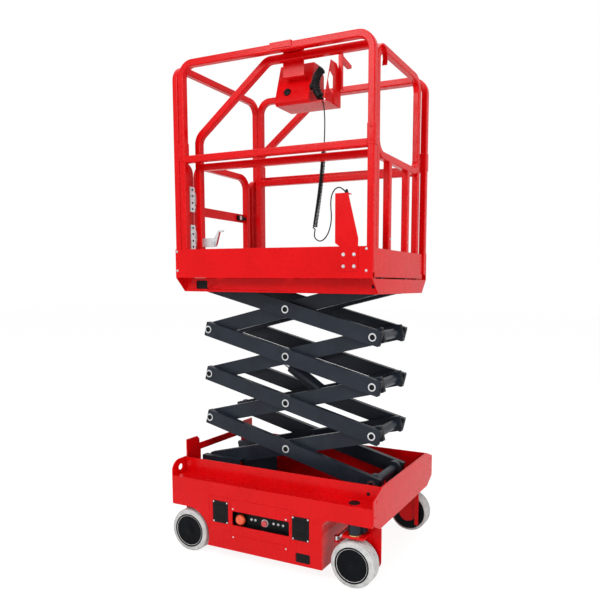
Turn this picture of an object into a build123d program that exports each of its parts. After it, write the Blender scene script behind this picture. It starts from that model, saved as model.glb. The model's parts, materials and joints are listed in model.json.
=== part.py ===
"""Small self-propelled scissor lift with a roll-out deck, in millimetres.

X runs along the machine towards the steered wheels, Y across it, Z up.
The origin is on the floor under the middle of the machine.
"""
import os
from math import atan2, cos, degrees, pi, radians, sin, sqrt, tan

from build123d import *

os.makedirs("parts", exist_ok=True)

# Scissor stack
arm_length = 1034.0
arm_depth = 80.0
arm_thick = 30.0
arm_rear_overhang = 22.0
arm_front_overhang = 40.0
arm_corner = 5.0
rest_angle = radians(14.0)
scissor_x = -24.5
pivot_z = 437.0
stack_half = 182.0
plane_gap = 6.0
pin_radius = 15.0
pin_head_radius = 21.0
pin_head = 5.0
sleeve_radius = 25.0
roller_radius = 22.0
cross_tube_radius = 20.0
running_gap = 0.05

stage_rise = arm_length * sin(rest_angle)
span = arm_length * cos(rest_angle)
right_x = scissor_x + span / 2
left_x = scissor_x - span / 2
top_pivot_z = pivot_z + 4 * stage_rise
outer_in = stack_half - arm_thick
inner_out = outer_in - plane_gap
inner_in = inner_out - arm_thick

# Wheels
wheel_radius = 115.0
wheel_width = 80.0
rim_radius = 76.0
rear_wheel_x = -486.0
front_wheel_x = 486.0

# Chassis
tub_half = 332.0
pod_width = 100.0
wheel_inset = 4.0
chassis_half = tub_half + pod_width
wheel_face_y = chassis_half - wheel_inset
wheel_mid_y = wheel_face_y - wheel_width / 2
chassis_rear = -592.0
chassis_front = 600.0
chassis_low = 60.0
sheet = 5.0
end_plate = 8.0
ledge_z = 409.0
tub_top = 488.0
arch_gap = 22.0
bay_x = 329.0
bay_z = 318.0
bay_round = 46.0
arch_radius = wheel_radius + arch_gap
rear_skirt_z = wheel_radius + arch_radius
tub_rear = chassis_rear + end_plate
tub_front = chassis_front - end_plate

# Platform
platform_rear = -579.0
platform_front = 559.0
platform_half = 378.0
beam_half = 311.0
beam_low = 1401.0
toe_low = 1473.0
toe_top = 1621.0
toe_thick = 4.0
floor_low = 1498.0
floor_thick = 4.0
floor_top = floor_low + floor_thick
slide_gap = 0.3
extension_low = floor_top + 5.0
extension_top = extension_low + 4.0

# Guard rails of square tube
tube = 35.0
tube_round = 6.0
bend = 70.0
rail_y = platform_half - toe_thick - tube / 2
rail_top = 2552.0
rail_mid = 2080.0
rail_rear_x = -525.0
rail_front_x = platform_front - tube / 2
inner_rail_y = 279.5
inner_rail_top = 2533.0
inner_mid = 2050.0
inner_rear_x = -487.0
inner_front_x = 522.5
rear_rail_x = platform_rear + tube / 2
rear_post_y = rail_y
ear_y = 279.0
gate_clear = 5.5
gate_hinge_y = inner_rail_y - tube - gate_clear
gate_post_y = gate_hinge_y - 30
gate_top = 2079.0
gate_low = 1550.0


def bent_tube(points, radius, size=tube, corner=tube_round):
    """Square tube along a line of points, its corners bent to a radius."""
    with BuildPart() as piece:
        with BuildLine() as path:
            if len(points) > 2:
                FilletPolyline(*points, radius=radius)
            else:
                Line(*points)
        start = path.line @ 0
        along = path.line % 0
        across = (0, 1, 0) if abs(along.Y) < 0.5 else (1, 0, 0)
        with BuildSketch(Plane(origin=start, x_dir=across, z_dir=along)):
            RectangleRounded(size, size, corner)
        sweep(path=path.line)
    return piece.part


def channel(half, low, high, wall):
    """Corner points of an open-topped channel, seen from its end."""
    return [
        (-half, low), (half, low), (half, high), (half - wall, high),
        (half - wall, low + wall), (-half + wall, low + wall), (-half + wall, high), (-half, high),
    ]


# Tub of the chassis: a deep channel behind, a shallow one over the steering bay
with BuildPart() as tub:
    with BuildSketch(Plane.YZ.offset(tub_rear)):
        Polygon(*channel(tub_half, chassis_low, tub_top, sheet), align=None)
    extrude(amount=bay_x - tub_rear)
    with BuildSketch(Plane.YZ.offset(bay_x - sheet)):
        Polygon(*channel(tub_half, bay_z, tub_top, sheet), align=None)
    extrude(amount=tub_front - bay_x + sheet)
    with BuildSketch(Plane.YZ.offset(bay_x - sheet)):
        with Locations((0, (chassis_low + bay_z + sheet) / 2)):
            Rectangle(2 * tub_half, bay_z + sheet - chassis_low)
    extrude(amount=sheet)
    with BuildSketch(Plane.YZ.offset(tub_rear)):
        with Locations((0, (chassis_low + rear_skirt_z) / 2)):
            Rectangle(2 * tub_half, rear_skirt_z - chassis_low)
    extrude(amount=sheet)
tub.part.label = "tub"
export_step(tub.part, "parts/tub.step")

# Side pods with round rear arches and open steering bays
panel_low = 197.0
panel_high = 273.0
panel_rear = -199.0
panel_front = 144.0
socket_x = 221.0
socket_z = 100.0
socket_wide = 84.0
socket_tall = 48.0
arch_end_x = rear_wheel_x + sqrt(arch_radius**2 - (wheel_radius - chassis_low) ** 2)
pod_plane = Plane.XZ.offset(chassis_half)
with BuildSketch(pod_plane) as pod_outline:
    with BuildLine():
        Line((tub_rear, ledge_z), (tub_rear, rear_skirt_z))
        Line((tub_rear, rear_skirt_z), (rear_wheel_x, rear_skirt_z))
        RadiusArc((rear_wheel_x, rear_skirt_z), (arch_end_x, chassis_low), arch_radius)
        Line((arch_end_x, chassis_low), (bay_x, chassis_low))
        Line((bay_x, chassis_low), (bay_x, bay_z - bay_round))
        RadiusArc((bay_x, bay_z - bay_round), (bay_x + bay_round, bay_z), bay_round)
        Line((bay_x + bay_round, bay_z), (tub_front, bay_z))
        Line((tub_front, bay_z), (tub_front, ledge_z))
        Line((tub_front, ledge_z), (tub_rear, ledge_z))
    make_face()
with BuildPart() as side_pods:
    extrude(pod_outline.sketch, amount=-(chassis_half - tub_half))
    extrude(
        offset(pod_outline.sketch, amount=-sheet, kind=Kind.INTERSECTION, mode=Mode.PRIVATE),
        amount=-(chassis_half - tub_half), mode=Mode.SUBTRACT,
    )
    extrude(pod_outline.sketch, amount=-sheet)
    mirror(about=Plane.XZ)
    with BuildSketch(pod_plane):
        with Locations(((panel_rear + panel_front) / 2, (panel_low + panel_high) / 2)):
            RectangleRounded(panel_front - panel_rear, panel_high - panel_low, 8)
        with Locations((socket_x, socket_z)):
            RectangleRounded(socket_wide, socket_tall, 8)
    extrude(amount=-sheet, mode=Mode.SUBTRACT)
side_pods.part.label = "side_pods"
export_step(side_pods.part, "parts/side_pods.step")

# End plates: chamfered at the steered end, with lifting eyes and raised guards behind
plate_dip_y = tub_half + 18
plate_dip_z = 288.0
plate_shoulder_z = 450.0
with BuildPart() as front_plate:
    with BuildSketch(Plane.YZ.offset(tub_front)):
        Polygon(
            (-chassis_half, bay_z + 12), (-plate_dip_y, plate_dip_z), (plate_dip_y, plate_dip_z),
            (chassis_half, bay_z + 12), (chassis_half, plate_shoulder_z), (tub_half, tub_top),
            (-tub_half, tub_top), (-chassis_half, plate_shoulder_z), align=None,
        )
    extrude(amount=end_plate)
front_plate.part.label = "front_plate"
export_step(front_plate.part, "parts/front_plate.step")

eye_y = chassis_half - 64
eye_z = 440.0
eye_radius = 17.0
guard_out = tub_half - 18
guard_top = 580.0
guard_bar_top = 537.0
guard_bar_low = 498.0
guard_slot_low = 385.0
guard_slot_half = stack_half + 16
guard_in = guard_slot_half + 10
guard_chamfer = 18.0
with BuildPart() as rear_plate:
    with BuildSketch(Plane.YZ.offset(chassis_rear)):
        with BuildLine():
            Polyline(
                (0, rear_skirt_z), (chassis_half, rear_skirt_z), (chassis_half, eye_z),
            )
            RadiusArc((chassis_half, eye_z), (chassis_half - 60, eye_z + 48), -60)
            Polyline(
                (chassis_half - 60, eye_z + 48), (guard_out, tub_top), (guard_out, guard_top),
                (guard_in + guard_chamfer, guard_top), (guard_in, guard_top - guard_chamfer),
                (guard_in, guard_bar_top), (0, guard_bar_top), (0, rear_skirt_z),
            )
        make_face()
        mirror(about=Plane.YZ)
        with Locations((-eye_y, eye_z), (eye_y, eye_z)):
            Circle(eye_radius, mode=Mode.SUBTRACT)
        with Locations((0, (guard_slot_low + guard_bar_low) / 2)):
            Rectangle(2 * guard_slot_half, guard_bar_low - guard_slot_low, mode=Mode.SUBTRACT)
    extrude(amount=end_plate)
rear_plate.part.label = "rear_plate"
export_step(rear_plate.part, "parts/rear_plate.step")

# Ground controls: a recessed tray behind the near pod's window, and its buttons
panel_thick = 4.0
panel_margin = 14.0
panel_depth = 28.0
tray_front_y = chassis_half - sheet
panel_face_y = tray_front_y - panel_depth
panel_x = (panel_rear + panel_front) / 2
panel_z = (panel_low + panel_high) / 2
button_z = panel_z - 8
with BuildPart() as control_panel:
    with BuildSketch(Plane.XZ.offset(tray_front_y)):
        with Locations((panel_x, panel_z)):
            Rectangle(panel_front - panel_rear + panel_margin, panel_high - panel_low + panel_margin)
    extrude(amount=-panel_depth - panel_thick)
    with BuildSketch(Plane.XZ.offset(tray_front_y)):
        with Locations((panel_x, panel_z)):
            Rectangle(panel_front - panel_rear, panel_high - panel_low)
    extrude(amount=-panel_depth, mode=Mode.SUBTRACT)
control_panel.part.label = "control_panel"
export_step(control_panel.part, "parts/control_panel.step")

stop_x = -158.0
key_x = -18.0
with BuildPart() as panel_buttons:
    with BuildSketch(Plane.XZ.offset(panel_face_y)):
        with Locations((stop_x, button_z)):
            Circle(12)
    extrude(amount=12)
    with BuildSketch(Plane.XZ.offset(panel_face_y + 12)):
        with Locations((stop_x, button_z)):
            Circle(24)
    extrude(amount=14)
    with BuildSketch(Plane.XZ.offset(panel_face_y)):
        with Locations((key_x, button_z)):
            Circle(16)
    extrude(amount=12)
panel_buttons.part.label = "panel_buttons"
export_step(panel_buttons.part, "parts/panel_buttons.step")

with BuildPart() as charge_socket:
    with BuildSketch(Plane.XZ.offset(chassis_half)):
        with Locations((socket_x, socket_z)):
            RectangleRounded(socket_wide - 2 * slide_gap, socket_tall - 2 * slide_gap, 8)
    extrude(amount=-40)
charge_socket.part.label = "charge_socket"
export_step(charge_socket.part, "parts/charge_socket.step")

# Heavy blocks standing on the tub's floor
tub_floor = chassis_low + sheet
battery_x = -230.0
battery_long = 360.0
battery_wide = 340.0
battery_tall = 240.0
with BuildPart() as battery_pack:
    with Locations((battery_x, 0, tub_floor)):
        Box(battery_long, battery_wide, battery_tall, align=(Align.CENTER, Align.CENTER, Align.MIN))
battery_pack.part.label = "battery_pack"
export_step(battery_pack.part, "parts/battery_pack.step")

unit_x = 150.0
unit_long = 280.0
unit_wide = 240.0
unit_tall = 220.0
with BuildPart() as power_unit:
    with Locations((unit_x, 0, tub_floor)):
        Box(unit_long, unit_wide, unit_tall, align=(Align.CENTER, Align.CENTER, Align.MIN))
power_unit.part.label = "power_unit"
export_step(power_unit.part, "parts/power_unit.step")

# Base of the scissor stack: two roller tracks on webs, and two pivot ears
track_gap = 0.3
track_flange = 6.0
track_web = 5.0
track_rear = tub_rear + 6
track_end = -320.0
track_low = pivot_z - roller_radius - track_gap
track_high = pivot_z + roller_radius + 0.7
track_out = stack_half + 6 + track_web
ear_half = 42.0
with BuildPart() as scissor_base:
    with BuildSketch(Plane.YZ.offset(track_rear)):
        Polygon(
            (track_out, tub_floor), (track_out, track_high + track_flange),
            (outer_in, track_high + track_flange), (outer_in, track_high),
            (track_out - track_web, track_high), (track_out - track_web, track_low), (outer_in, track_low),
            (outer_in, track_low - track_flange), (track_out - track_web, track_low - track_flange),
            (track_out - track_web, tub_floor), align=None,
        )
    extrude(amount=track_end - track_rear)
    with BuildSketch(Plane.XZ.offset(-inner_in)):
        with Locations((right_x, (pivot_z + bay_z + sheet) / 2)):
            Rectangle(2 * ear_half, pivot_z - bay_z - sheet)
        with Locations((right_x, pivot_z)):
            Circle(ear_half)
            Circle(pin_radius + running_gap, mode=Mode.SUBTRACT)
    extrude(amount=-arm_thick)
    mirror(about=Plane.XZ)
scissor_base.part.label = "scissor_base"
export_step(scissor_base.part, "parts/scissor_base.step")

# Rear stub axles on the tub's walls
axle_radius = 17.5
axle_end_y = wheel_face_y - 6
with BuildPart() as rear_axles:
    with BuildSketch(Plane.XZ.offset(tub_half)):
        with Locations((rear_wheel_x, wheel_radius)):
            RectangleRounded(110, 84, 10)
    extrude(amount=10)
    with BuildSketch(Plane.XZ.offset(tub_half)):
        with Locations((rear_wheel_x, wheel_radius)):
            Circle(axle_radius)
    extrude(amount=axle_end_y - tub_half)
    mirror(about=Plane.XZ)
rear_axles.part.label = "rear_axles"
export_step(rear_axles.part, "parts/rear_axles.step")

# Steering: a beam with king pin bosses, two knuckles and a tie rod
king_radius = 14.0
boss_radius = 30.0
beam_under = 262.0
knuckle_top = beam_under - 6
knuckle_plate = 12.0
fork_out_y = wheel_face_y - wheel_width - 5
fork_thick = 10.0
fork_in_y = fork_out_y - fork_thick
arm_pin_x = front_wheel_x - 110
arm_pin_y = wheel_mid_y - 28
arm_low = 188.0
arm_high = 200.0
tie_pin_radius = 7.0
pin_boss = 14.0
with BuildPart() as front_beam:
    with Locations((front_wheel_x, 0, beam_under)):
        Box(90, 2 * (wheel_mid_y - 10), bay_z - beam_under, align=(Align.CENTER, Align.CENTER, Align.MIN))
    with Locations((front_wheel_x, -wheel_mid_y, beam_under), (front_wheel_x, wheel_mid_y, beam_under)):
        Cylinder(boss_radius, bay_z - beam_under, align=(Align.CENTER, Align.CENTER, Align.MIN))
        Cylinder(
            king_radius + running_gap, bay_z - beam_under - 8,
            align=(Align.CENTER, Align.CENTER, Align.MIN), mode=Mode.SUBTRACT,
        )
front_beam.part.label = "front_beam"
export_step(front_beam.part, "parts/front_beam.step")

with BuildPart() as knuckle_near:
    with BuildSketch(Plane.XY.offset(knuckle_top - knuckle_plate)):
        with Locations((front_wheel_x, -(wheel_face_y - 8 + fork_in_y) / 2)):
            RectangleRounded(120, wheel_face_y - 8 - fork_in_y, 14)
    extrude(amount=knuckle_plate)
    with Locations((front_wheel_x, -wheel_mid_y, knuckle_top)):
        Cylinder(king_radius, bay_z - knuckle_top - 12, align=(Align.CENTER, Align.CENTER, Align.MIN))
    with BuildSketch(Plane.XZ.offset(fork_in_y)):
        with BuildLine():
            Polyline(
                (front_wheel_x - 50, wheel_radius), (front_wheel_x - 60, knuckle_top),
                (front_wheel_x + 60, knuckle_top), (front_wheel_x + 50, wheel_radius),
            )
            RadiusArc((front_wheel_x + 50, wheel_radius), (front_wheel_x - 50, wheel_radius), 50)
        make_face()
    extrude(amount=fork_thick)
    with BuildSketch(Plane.XZ.offset(fork_in_y)):
        with Locations((front_wheel_x, wheel_radius)):
            Circle(axle_radius)
    extrude(amount=axle_end_y - fork_in_y)
    with BuildSketch(Plane.XY.offset(arm_low)):
        Polygon(
            (front_wheel_x - 40, -fork_in_y - 4), (front_wheel_x - 40, -fork_in_y + 20),
            (arm_pin_x, -arm_pin_y + pin_boss), (arm_pin_x, -arm_pin_y - pin_boss),
            (arm_pin_x + 12, -fork_out_y), align=None,
        )
        with Locations((arm_pin_x, -arm_pin_y)):
            Circle(pin_boss)
            Circle(tie_pin_radius + running_gap, mode=Mode.SUBTRACT)
    extrude(amount=arm_high - arm_low)
knuckle_near.part.label = "knuckle_near"
export_step(knuckle_near.part, "parts/knuckle_near.step")

with BuildPart() as knuckle_far:
    mirror(knuckle_near.part, about=Plane.XZ)
    with Locations((arm_pin_x, arm_pin_y, arm_low)):
        Cylinder(
            tie_pin_radius + running_gap, arm_high - arm_low, align=(Align.CENTER, Align.CENTER, Align.MIN),
        )
knuckle_far.part.label = "knuckle_far"
export_step(knuckle_far.part, "parts/knuckle_far.step")

with BuildPart() as tie_rod:
    with Locations((arm_pin_x, -arm_pin_y, arm_high + slide_gap), (arm_pin_x, arm_pin_y, arm_high + slide_gap)):
        Cylinder(pin_boss, 20, align=(Align.CENTER, Align.CENTER, Align.MIN))
    with Locations((arm_pin_x, -arm_pin_y, arm_low - 4)):
        Cylinder(tie_pin_radius, arm_high - arm_low + 6, align=(Align.CENTER, Align.CENTER, Align.MIN))
    with Locations(Location((arm_pin_x, 0, arm_high + slide_gap + 10), (90, 0, 0))):
        Cylinder(8, 2 * arm_pin_y)
tie_rod.part.label = "tie_rod"
export_step(tie_rod.part, "parts/tie_rod.step")

# Wheels: a plain solid tyre on a dished hub
tyre_round = 9.0
hub_back = 26.0
hub_face = 10.0
hub_dish = 14.0


def tyre_at(x, side):
    """Tyre of the wheel at x, on the side of the machine that side gives (-1 near, 1 far)."""
    face = side * wheel_face_y
    back = side * (wheel_face_y - wheel_width)
    with BuildPart() as piece:
        with BuildSketch(Plane(origin=(x, 0, wheel_radius), x_dir=(0, 1, 0), z_dir=(1, 0, 0))) as section:
            Polygon(
                (face, rim_radius), (face, wheel_radius), (back, wheel_radius), (back, rim_radius), align=None,
            )
            fillet(section.vertices().group_by(Axis.Z)[-1], tyre_round)
        revolve(axis=Axis((x, 0, wheel_radius), (0, 1, 0)))
    return piece.part


def hub_at(x, side):
    """Hub of the same wheel, with its bore for the stub axle."""
    face = side * (wheel_face_y - hub_face)
    dish = side * (wheel_face_y - hub_face - hub_dish)
    back = side * (wheel_face_y - wheel_width + hub_back)
    bore = axle_radius + running_gap
    with BuildPart() as piece:
        with BuildSketch(Plane(origin=(x, 0, wheel_radius), x_dir=(0, 1, 0), z_dir=(1, 0, 0))):
            Polygon(
                (face, rim_radius), (face, rim_radius - 10), (dish, rim_radius - 18), (dish, 40),
                (face, 32), (face, bore), (back, bore), (back, rim_radius), align=None,
            )
        revolve(axis=Axis((x, 0, wheel_radius), (0, 1, 0)))
    return piece.part


with BuildPart() as tyre_rear_near:
    add(tyre_at(rear_wheel_x, -1))
tyre_rear_near.part.label = "tyre_rear_near"
export_step(tyre_rear_near.part, "parts/tyre_rear_near.step")

with BuildPart() as tyre_rear_far:
    add(tyre_at(rear_wheel_x, 1))
tyre_rear_far.part.label = "tyre_rear_far"
export_step(tyre_rear_far.part, "parts/tyre_rear_far.step")

with BuildPart() as tyre_front_near:
    add(tyre_at(front_wheel_x, -1))
tyre_front_near.part.label = "tyre_front_near"
export_step(tyre_front_near.part, "parts/tyre_front_near.step")

with BuildPart() as tyre_front_far:
    add(tyre_at(front_wheel_x, 1))
tyre_front_far.part.label = "tyre_front_far"
export_step(tyre_front_far.part, "parts/tyre_front_far.step")

with BuildPart() as hub_rear_near:
    add(hub_at(rear_wheel_x, -1))
hub_rear_near.part.label = "hub_rear_near"
export_step(hub_rear_near.part, "parts/hub_rear_near.step")

with BuildPart() as hub_rear_far:
    add(hub_at(rear_wheel_x, 1))
hub_rear_far.part.label = "hub_rear_far"
export_step(hub_rear_far.part, "parts/hub_rear_far.step")

with BuildPart() as hub_front_near:
    add(hub_at(front_wheel_x, -1))
hub_front_near.part.label = "hub_front_near"
export_step(hub_front_near.part, "parts/hub_front_near.step")

with BuildPart() as hub_front_far:
    add(hub_at(front_wheel_x, 1))
hub_front_far.part.label = "hub_front_far"
export_step(hub_front_far.part, "parts/hub_front_far.step")

# Lift cylinder: its eyes lie on the inner arms of the two middle stages
eye_reach = 0.28 * arm_length / 2
tube_reach = eye_reach + 85.0
lug_half = 28.0
lug_in_y = 25.0
lug_thick = 10.0
cylinder_pin = 12.0
cylinder_eye = 24.0
cylinder_eye_y = 20.0


def stage_middle(stage):
    """Height of the middle pins of a stage, counted from one at the bottom."""
    return pivot_z + (stage - 0.5) * stage_rise


def arm_plane(stage, lean, y):
    """Plane of an arm at its middle pin: local X climbs with lean 1 and falls with lean -1."""
    return Plane(
        origin=(scissor_x, y, stage_middle(stage)),
        x_dir=(cos(rest_angle), 0, lean * sin(rest_angle)), z_dir=(0, 1, 0),
    )


def arm_pair(stage, lean, y, bores):
    """Two like arms, one each side, with the given pin bores."""
    with BuildPart() as piece:
        with BuildSketch(arm_plane(stage, lean, y)):
            with Locations(((arm_front_overhang - arm_rear_overhang) / 2, 0)):
                RectangleRounded(arm_length + arm_rear_overhang + arm_front_overhang, arm_depth, arm_corner)
            with Locations(*bores):
                Circle(pin_radius + (running_gap if lean > 0 else 0), mode=Mode.SUBTRACT)
        extrude(amount=arm_thick)
        mirror(about=Plane.XZ)
    return piece.part


end_low = (-arm_length / 2, 0)
end_mid = (0, 0)
end_high = (arm_length / 2, 0)


def outer_arms_of(stage):
    """Outer arms: they fall towards the steered end."""
    return arm_pair(stage, -1, -stack_half, [end_low, end_mid, end_high])


def along_y(x, z, y_from, y_to, radius):
    """Round bar across the machine."""
    with BuildPart() as piece:
        with BuildSketch(Plane(origin=(x, y_from, z), x_dir=(1, 0, 0), z_dir=(0, 1, 0))):
            Circle(radius)
        extrude(amount=y_to - y_from)
    return piece.part


def outer_pins_of(stage):
    """Shafts at both ends of a stage's outer arms and stubs at their middle."""
    head_y = stack_half + pin_head
    falls_to = pivot_z + (stage - 1) * stage_rise
    climbs_to = pivot_z + stage * stage_rise
    with BuildPart() as piece:
        through = [(right_x, falls_to)]
        stubs = [(scissor_x, stage_middle(stage), inner_in - 4)]
        if stage < 4:
            through.append((left_x, climbs_to))
        else:
            stubs.append((left_x, climbs_to, inner_in + 1))
        for x, z in through:
            add(along_y(x, z, -stack_half, stack_half, pin_radius))
            add(along_y(x, z, -inner_in + plane_gap, inner_in - plane_gap, sleeve_radius))
            add(along_y(x, z, -head_y, -stack_half, pin_head_radius))
            add(along_y(x, z, stack_half, head_y, pin_head_radius))
        for x, z, inside in stubs:
            for side in (-1, 1):
                add(along_y(x, z, *sorted((side * inside, side * stack_half)), pin_radius))
                add(along_y(x, z, *sorted((side * stack_half, side * head_y)), pin_head_radius))
        if stage == 4:
            add(along_y(left_x, climbs_to, inner_in + 1, inner_out - 1, roller_radius))
            add(along_y(left_x, climbs_to, -inner_out + 1, -inner_in - 1, roller_radius))
    return piece.part


def inner_arms_of(stage):
    """Inner arms with the two tubes that join them, and what they carry."""
    bores = [end_mid]
    if stage > 1:
        bores.append(end_low)
    if stage < 4:
        bores.append(end_high)
    with BuildPart() as piece:
        add(arm_pair(stage, 1, -inner_out, bores))
        with BuildSketch(arm_plane(stage, 1, -inner_in)):
            with Locations((-tube_reach, 0), (tube_reach, 0)):
                Circle(cross_tube_radius)
        extrude(amount=2 * inner_in)
        if stage == 1:
            for side in (-1, 1):
                ends = sorted((side * inner_in, side * stack_half))
                add(along_y(left_x, pivot_z, *ends, pin_radius))
                ends = sorted((side * (outer_in + 1), side * (stack_half - 1)))
                add(along_y(left_x, pivot_z, *ends, roller_radius))
        if stage == 4:
            for side in (-1, 1):
                ends = sorted((side * inner_in, side * stack_half))
                add(along_y(right_x, top_pivot_z, *ends, pin_radius))
        if stage in (2, 3):
            way = 1 if stage == 2 else -1
            for y in (-lug_in_y - lug_thick, lug_in_y):
                with BuildSketch(arm_plane(stage, 1, y)):
                    with Locations((way * (eye_reach + tube_reach) / 2, 0)):
                        SlotCenterToCenter(tube_reach - eye_reach, 2 * lug_half)
                    if stage == 2:
                        with Locations((way * eye_reach, 0)):
                            Circle(cylinder_pin + running_gap, mode=Mode.SUBTRACT)
                extrude(amount=lug_thick)
    return piece.part


with BuildPart() as outer_arms_1:
    add(outer_arms_of(1))
outer_arms_1.part.label = "outer_arms_1"
export_step(outer_arms_1.part, "parts/outer_arms_1.step")

with BuildPart() as outer_arms_2:
    add(outer_arms_of(2))
outer_arms_2.part.label = "outer_arms_2"
export_step(outer_arms_2.part, "parts/outer_arms_2.step")

with BuildPart() as outer_arms_3:
    add(outer_arms_of(3))
outer_arms_3.part.label = "outer_arms_3"
export_step(outer_arms_3.part, "parts/outer_arms_3.step")

with BuildPart() as outer_arms_4:
    add(outer_arms_of(4))
outer_arms_4.part.label = "outer_arms_4"
export_step(outer_arms_4.part, "parts/outer_arms_4.step")

with BuildPart() as outer_pins_1:
    add(outer_pins_of(1))
outer_pins_1.part.label = "outer_pins_1"
export_step(outer_pins_1.part, "parts/outer_pins_1.step")

with BuildPart() as outer_pins_2:
    add(outer_pins_of(2))
outer_pins_2.part.label = "outer_pins_2"
export_step(outer_pins_2.part, "parts/outer_pins_2.step")

with BuildPart() as outer_pins_3:
    add(outer_pins_of(3))
outer_pins_3.part.label = "outer_pins_3"
export_step(outer_pins_3.part, "parts/outer_pins_3.step")

with BuildPart() as outer_pins_4:
    add(outer_pins_of(4))
outer_pins_4.part.label = "outer_pins_4"
export_step(outer_pins_4.part, "parts/outer_pins_4.step")

with BuildPart() as inner_arms_1:
    add(inner_arms_of(1))
inner_arms_1.part.label = "inner_arms_1"
export_step(inner_arms_1.part, "parts/inner_arms_1.step")

with BuildPart() as inner_arms_2:
    add(inner_arms_of(2))
inner_arms_2.part.label = "inner_arms_2"
export_step(inner_arms_2.part, "parts/inner_arms_2.step")

with BuildPart() as inner_arms_3:
    add(inner_arms_of(3))
inner_arms_3.part.label = "inner_arms_3"
export_step(inner_arms_3.part, "parts/inner_arms_3.step")

with BuildPart() as inner_arms_4:
    add(inner_arms_of(4))
inner_arms_4.part.label = "inner_arms_4"
export_step(inner_arms_4.part, "parts/inner_arms_4.step")

# Cylinder barrel and rod along the line between the two eyes
base_eye = (scissor_x + eye_reach * cos(rest_angle), stage_middle(2) + eye_reach * sin(rest_angle))
rod_eye = (scissor_x - eye_reach * cos(rest_angle), stage_middle(3) - eye_reach * sin(rest_angle))
reach_x = rod_eye[0] - base_eye[0]
reach_z = rod_eye[1] - base_eye[1]
cylinder_length = sqrt(reach_x**2 + reach_z**2)
barrel_radius = 35.0
barrel_from = lug_half + 8.0
barrel_to = 250.0
neck_radius = 19.0
rod_radius = 20.0
rod_length = 234.0
rod_bore_gap = 0.3
barrel_floor = 8.0
cylinder_way = (reach_x / cylinder_length, 0, reach_z / cylinder_length)


def across_cylinder(distance):
    """Plane square to the cylinder at a distance from its base eye."""
    return Plane(
        origin=(
            base_eye[0] + distance * cylinder_way[0], 0, base_eye[1] + distance * cylinder_way[2],
        ),
        x_dir=(0, 1, 0), z_dir=cylinder_way,
    )


with BuildPart() as lift_barrel:
    add(along_y(*base_eye, -cylinder_eye_y, cylinder_eye_y, cylinder_eye))
    with BuildSketch(across_cylinder(0)):
        Circle(neck_radius)
    extrude(amount=barrel_from)
    with BuildSketch(across_cylinder(barrel_from)):
        Circle(barrel_radius)
    extrude(amount=barrel_to - barrel_from)
    with BuildSketch(across_cylinder(barrel_from + barrel_floor)):
        Circle(rod_radius + rod_bore_gap)
    extrude(amount=barrel_to - barrel_from - barrel_floor, mode=Mode.SUBTRACT)
    add(along_y(*base_eye, -lug_in_y - lug_thick - 4, lug_in_y + lug_thick + 4, cylinder_pin))
lift_barrel.part.label = "lift_barrel"
export_step(lift_barrel.part, "parts/lift_barrel.step")

with BuildPart() as lift_rod:
    with BuildSketch(across_cylinder(cylinder_length - rod_length)):
        Circle(rod_radius)
    extrude(amount=rod_length)
    add(along_y(*rod_eye, -cylinder_eye_y, cylinder_eye_y, cylinder_eye))
    add(along_y(*rod_eye, -lug_in_y + 2, lug_in_y - 2, cylinder_pin))
lift_rod.part.label = "lift_rod"
export_step(lift_rod.part, "parts/lift_rod.step")
print("cylinder at rest", round(cylinder_length, 1), "angle", round(degrees(atan2(reach_z, -reach_x)), 2))

# Platform: beams under a floor, with the upper roller tracks and pivot ears
lip_thick = 6.0
pocket_x = -463.0
pocket_wide = 72.0
pocket_tall = 44.0
bar_width = 40.0
bar_half = platform_half - toe_thick
floor_front = 534.0
bar_low = 1487.0
bar_foot = bar_half - beam_half + 30
bar_foot_y = bar_half - bar_foot / 2
bars = [
    (platform_rear + bar_width / 2, bar_width), (track_end - bar_width / 2, bar_width),
    (80, bar_width), (floor_front - 7, 14),
]
upper_track_low = top_pivot_z - roller_radius - 0.7
upper_track_high = top_pivot_z + roller_radius + track_gap
upper_web_y = inner_in - 6
with BuildPart() as platform_frame:
    for x in (platform_rear, platform_front - lip_thick):
        with BuildSketch(Plane.YZ.offset(x)):
            Polygon(
                (-platform_half, toe_low), (-beam_half, beam_low), (beam_half, beam_low),
                (platform_half, toe_low), align=None,
            )
        extrude(amount=lip_thick)
    with BuildSketch(Plane.YZ.offset(platform_rear)):
        for side in (-1, 1):
            Polygon(
                (side * beam_half, beam_low), (side * beam_half, toe_low),
                (side * (beam_half - 30), toe_low), (side * (beam_half - 30), toe_low - 4),
                (side * (beam_half - 4), toe_low - 4), (side * (beam_half - 4), beam_low + 4),
                (side * (beam_half - 30), beam_low + 4), (side * (beam_half - 30), beam_low), align=None,
            )
    extrude(amount=platform_front - platform_rear)
    with BuildSketch(Plane.XZ.offset(platform_half)):
        with Locations((pocket_x, (beam_low + toe_low) / 2)):
            RectangleRounded(pocket_wide, pocket_tall, 5)
        with Locations((platform_front - 24, (beam_low + toe_low) / 2)):
            Rectangle(18, 18)
    extrude(amount=-2 * platform_half, mode=Mode.SUBTRACT)
    for x, width in bars:
        with Locations((x, 0, bar_low)):
            Box(width, 2 * bar_half, floor_low - bar_low, align=(Align.CENTER, Align.CENTER, Align.MIN))
        with Locations((x, -bar_foot_y, toe_low), (x, bar_foot_y, toe_low)):
            Box(width, bar_foot, bar_low - toe_low, align=(Align.CENTER, Align.CENTER, Align.MIN))
    with Locations((platform_rear, 0, beam_low)):
        Box(
            2 * lip_thick, 2 * guard_slot_half, toe_low - beam_low,
            align=(Align.CENTER, Align.CENTER, Align.MIN), mode=Mode.SUBTRACT,
        )
platform_frame.part.label = "platform_frame"
export_step(platform_frame.part, "parts/platform_frame.step")

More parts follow.
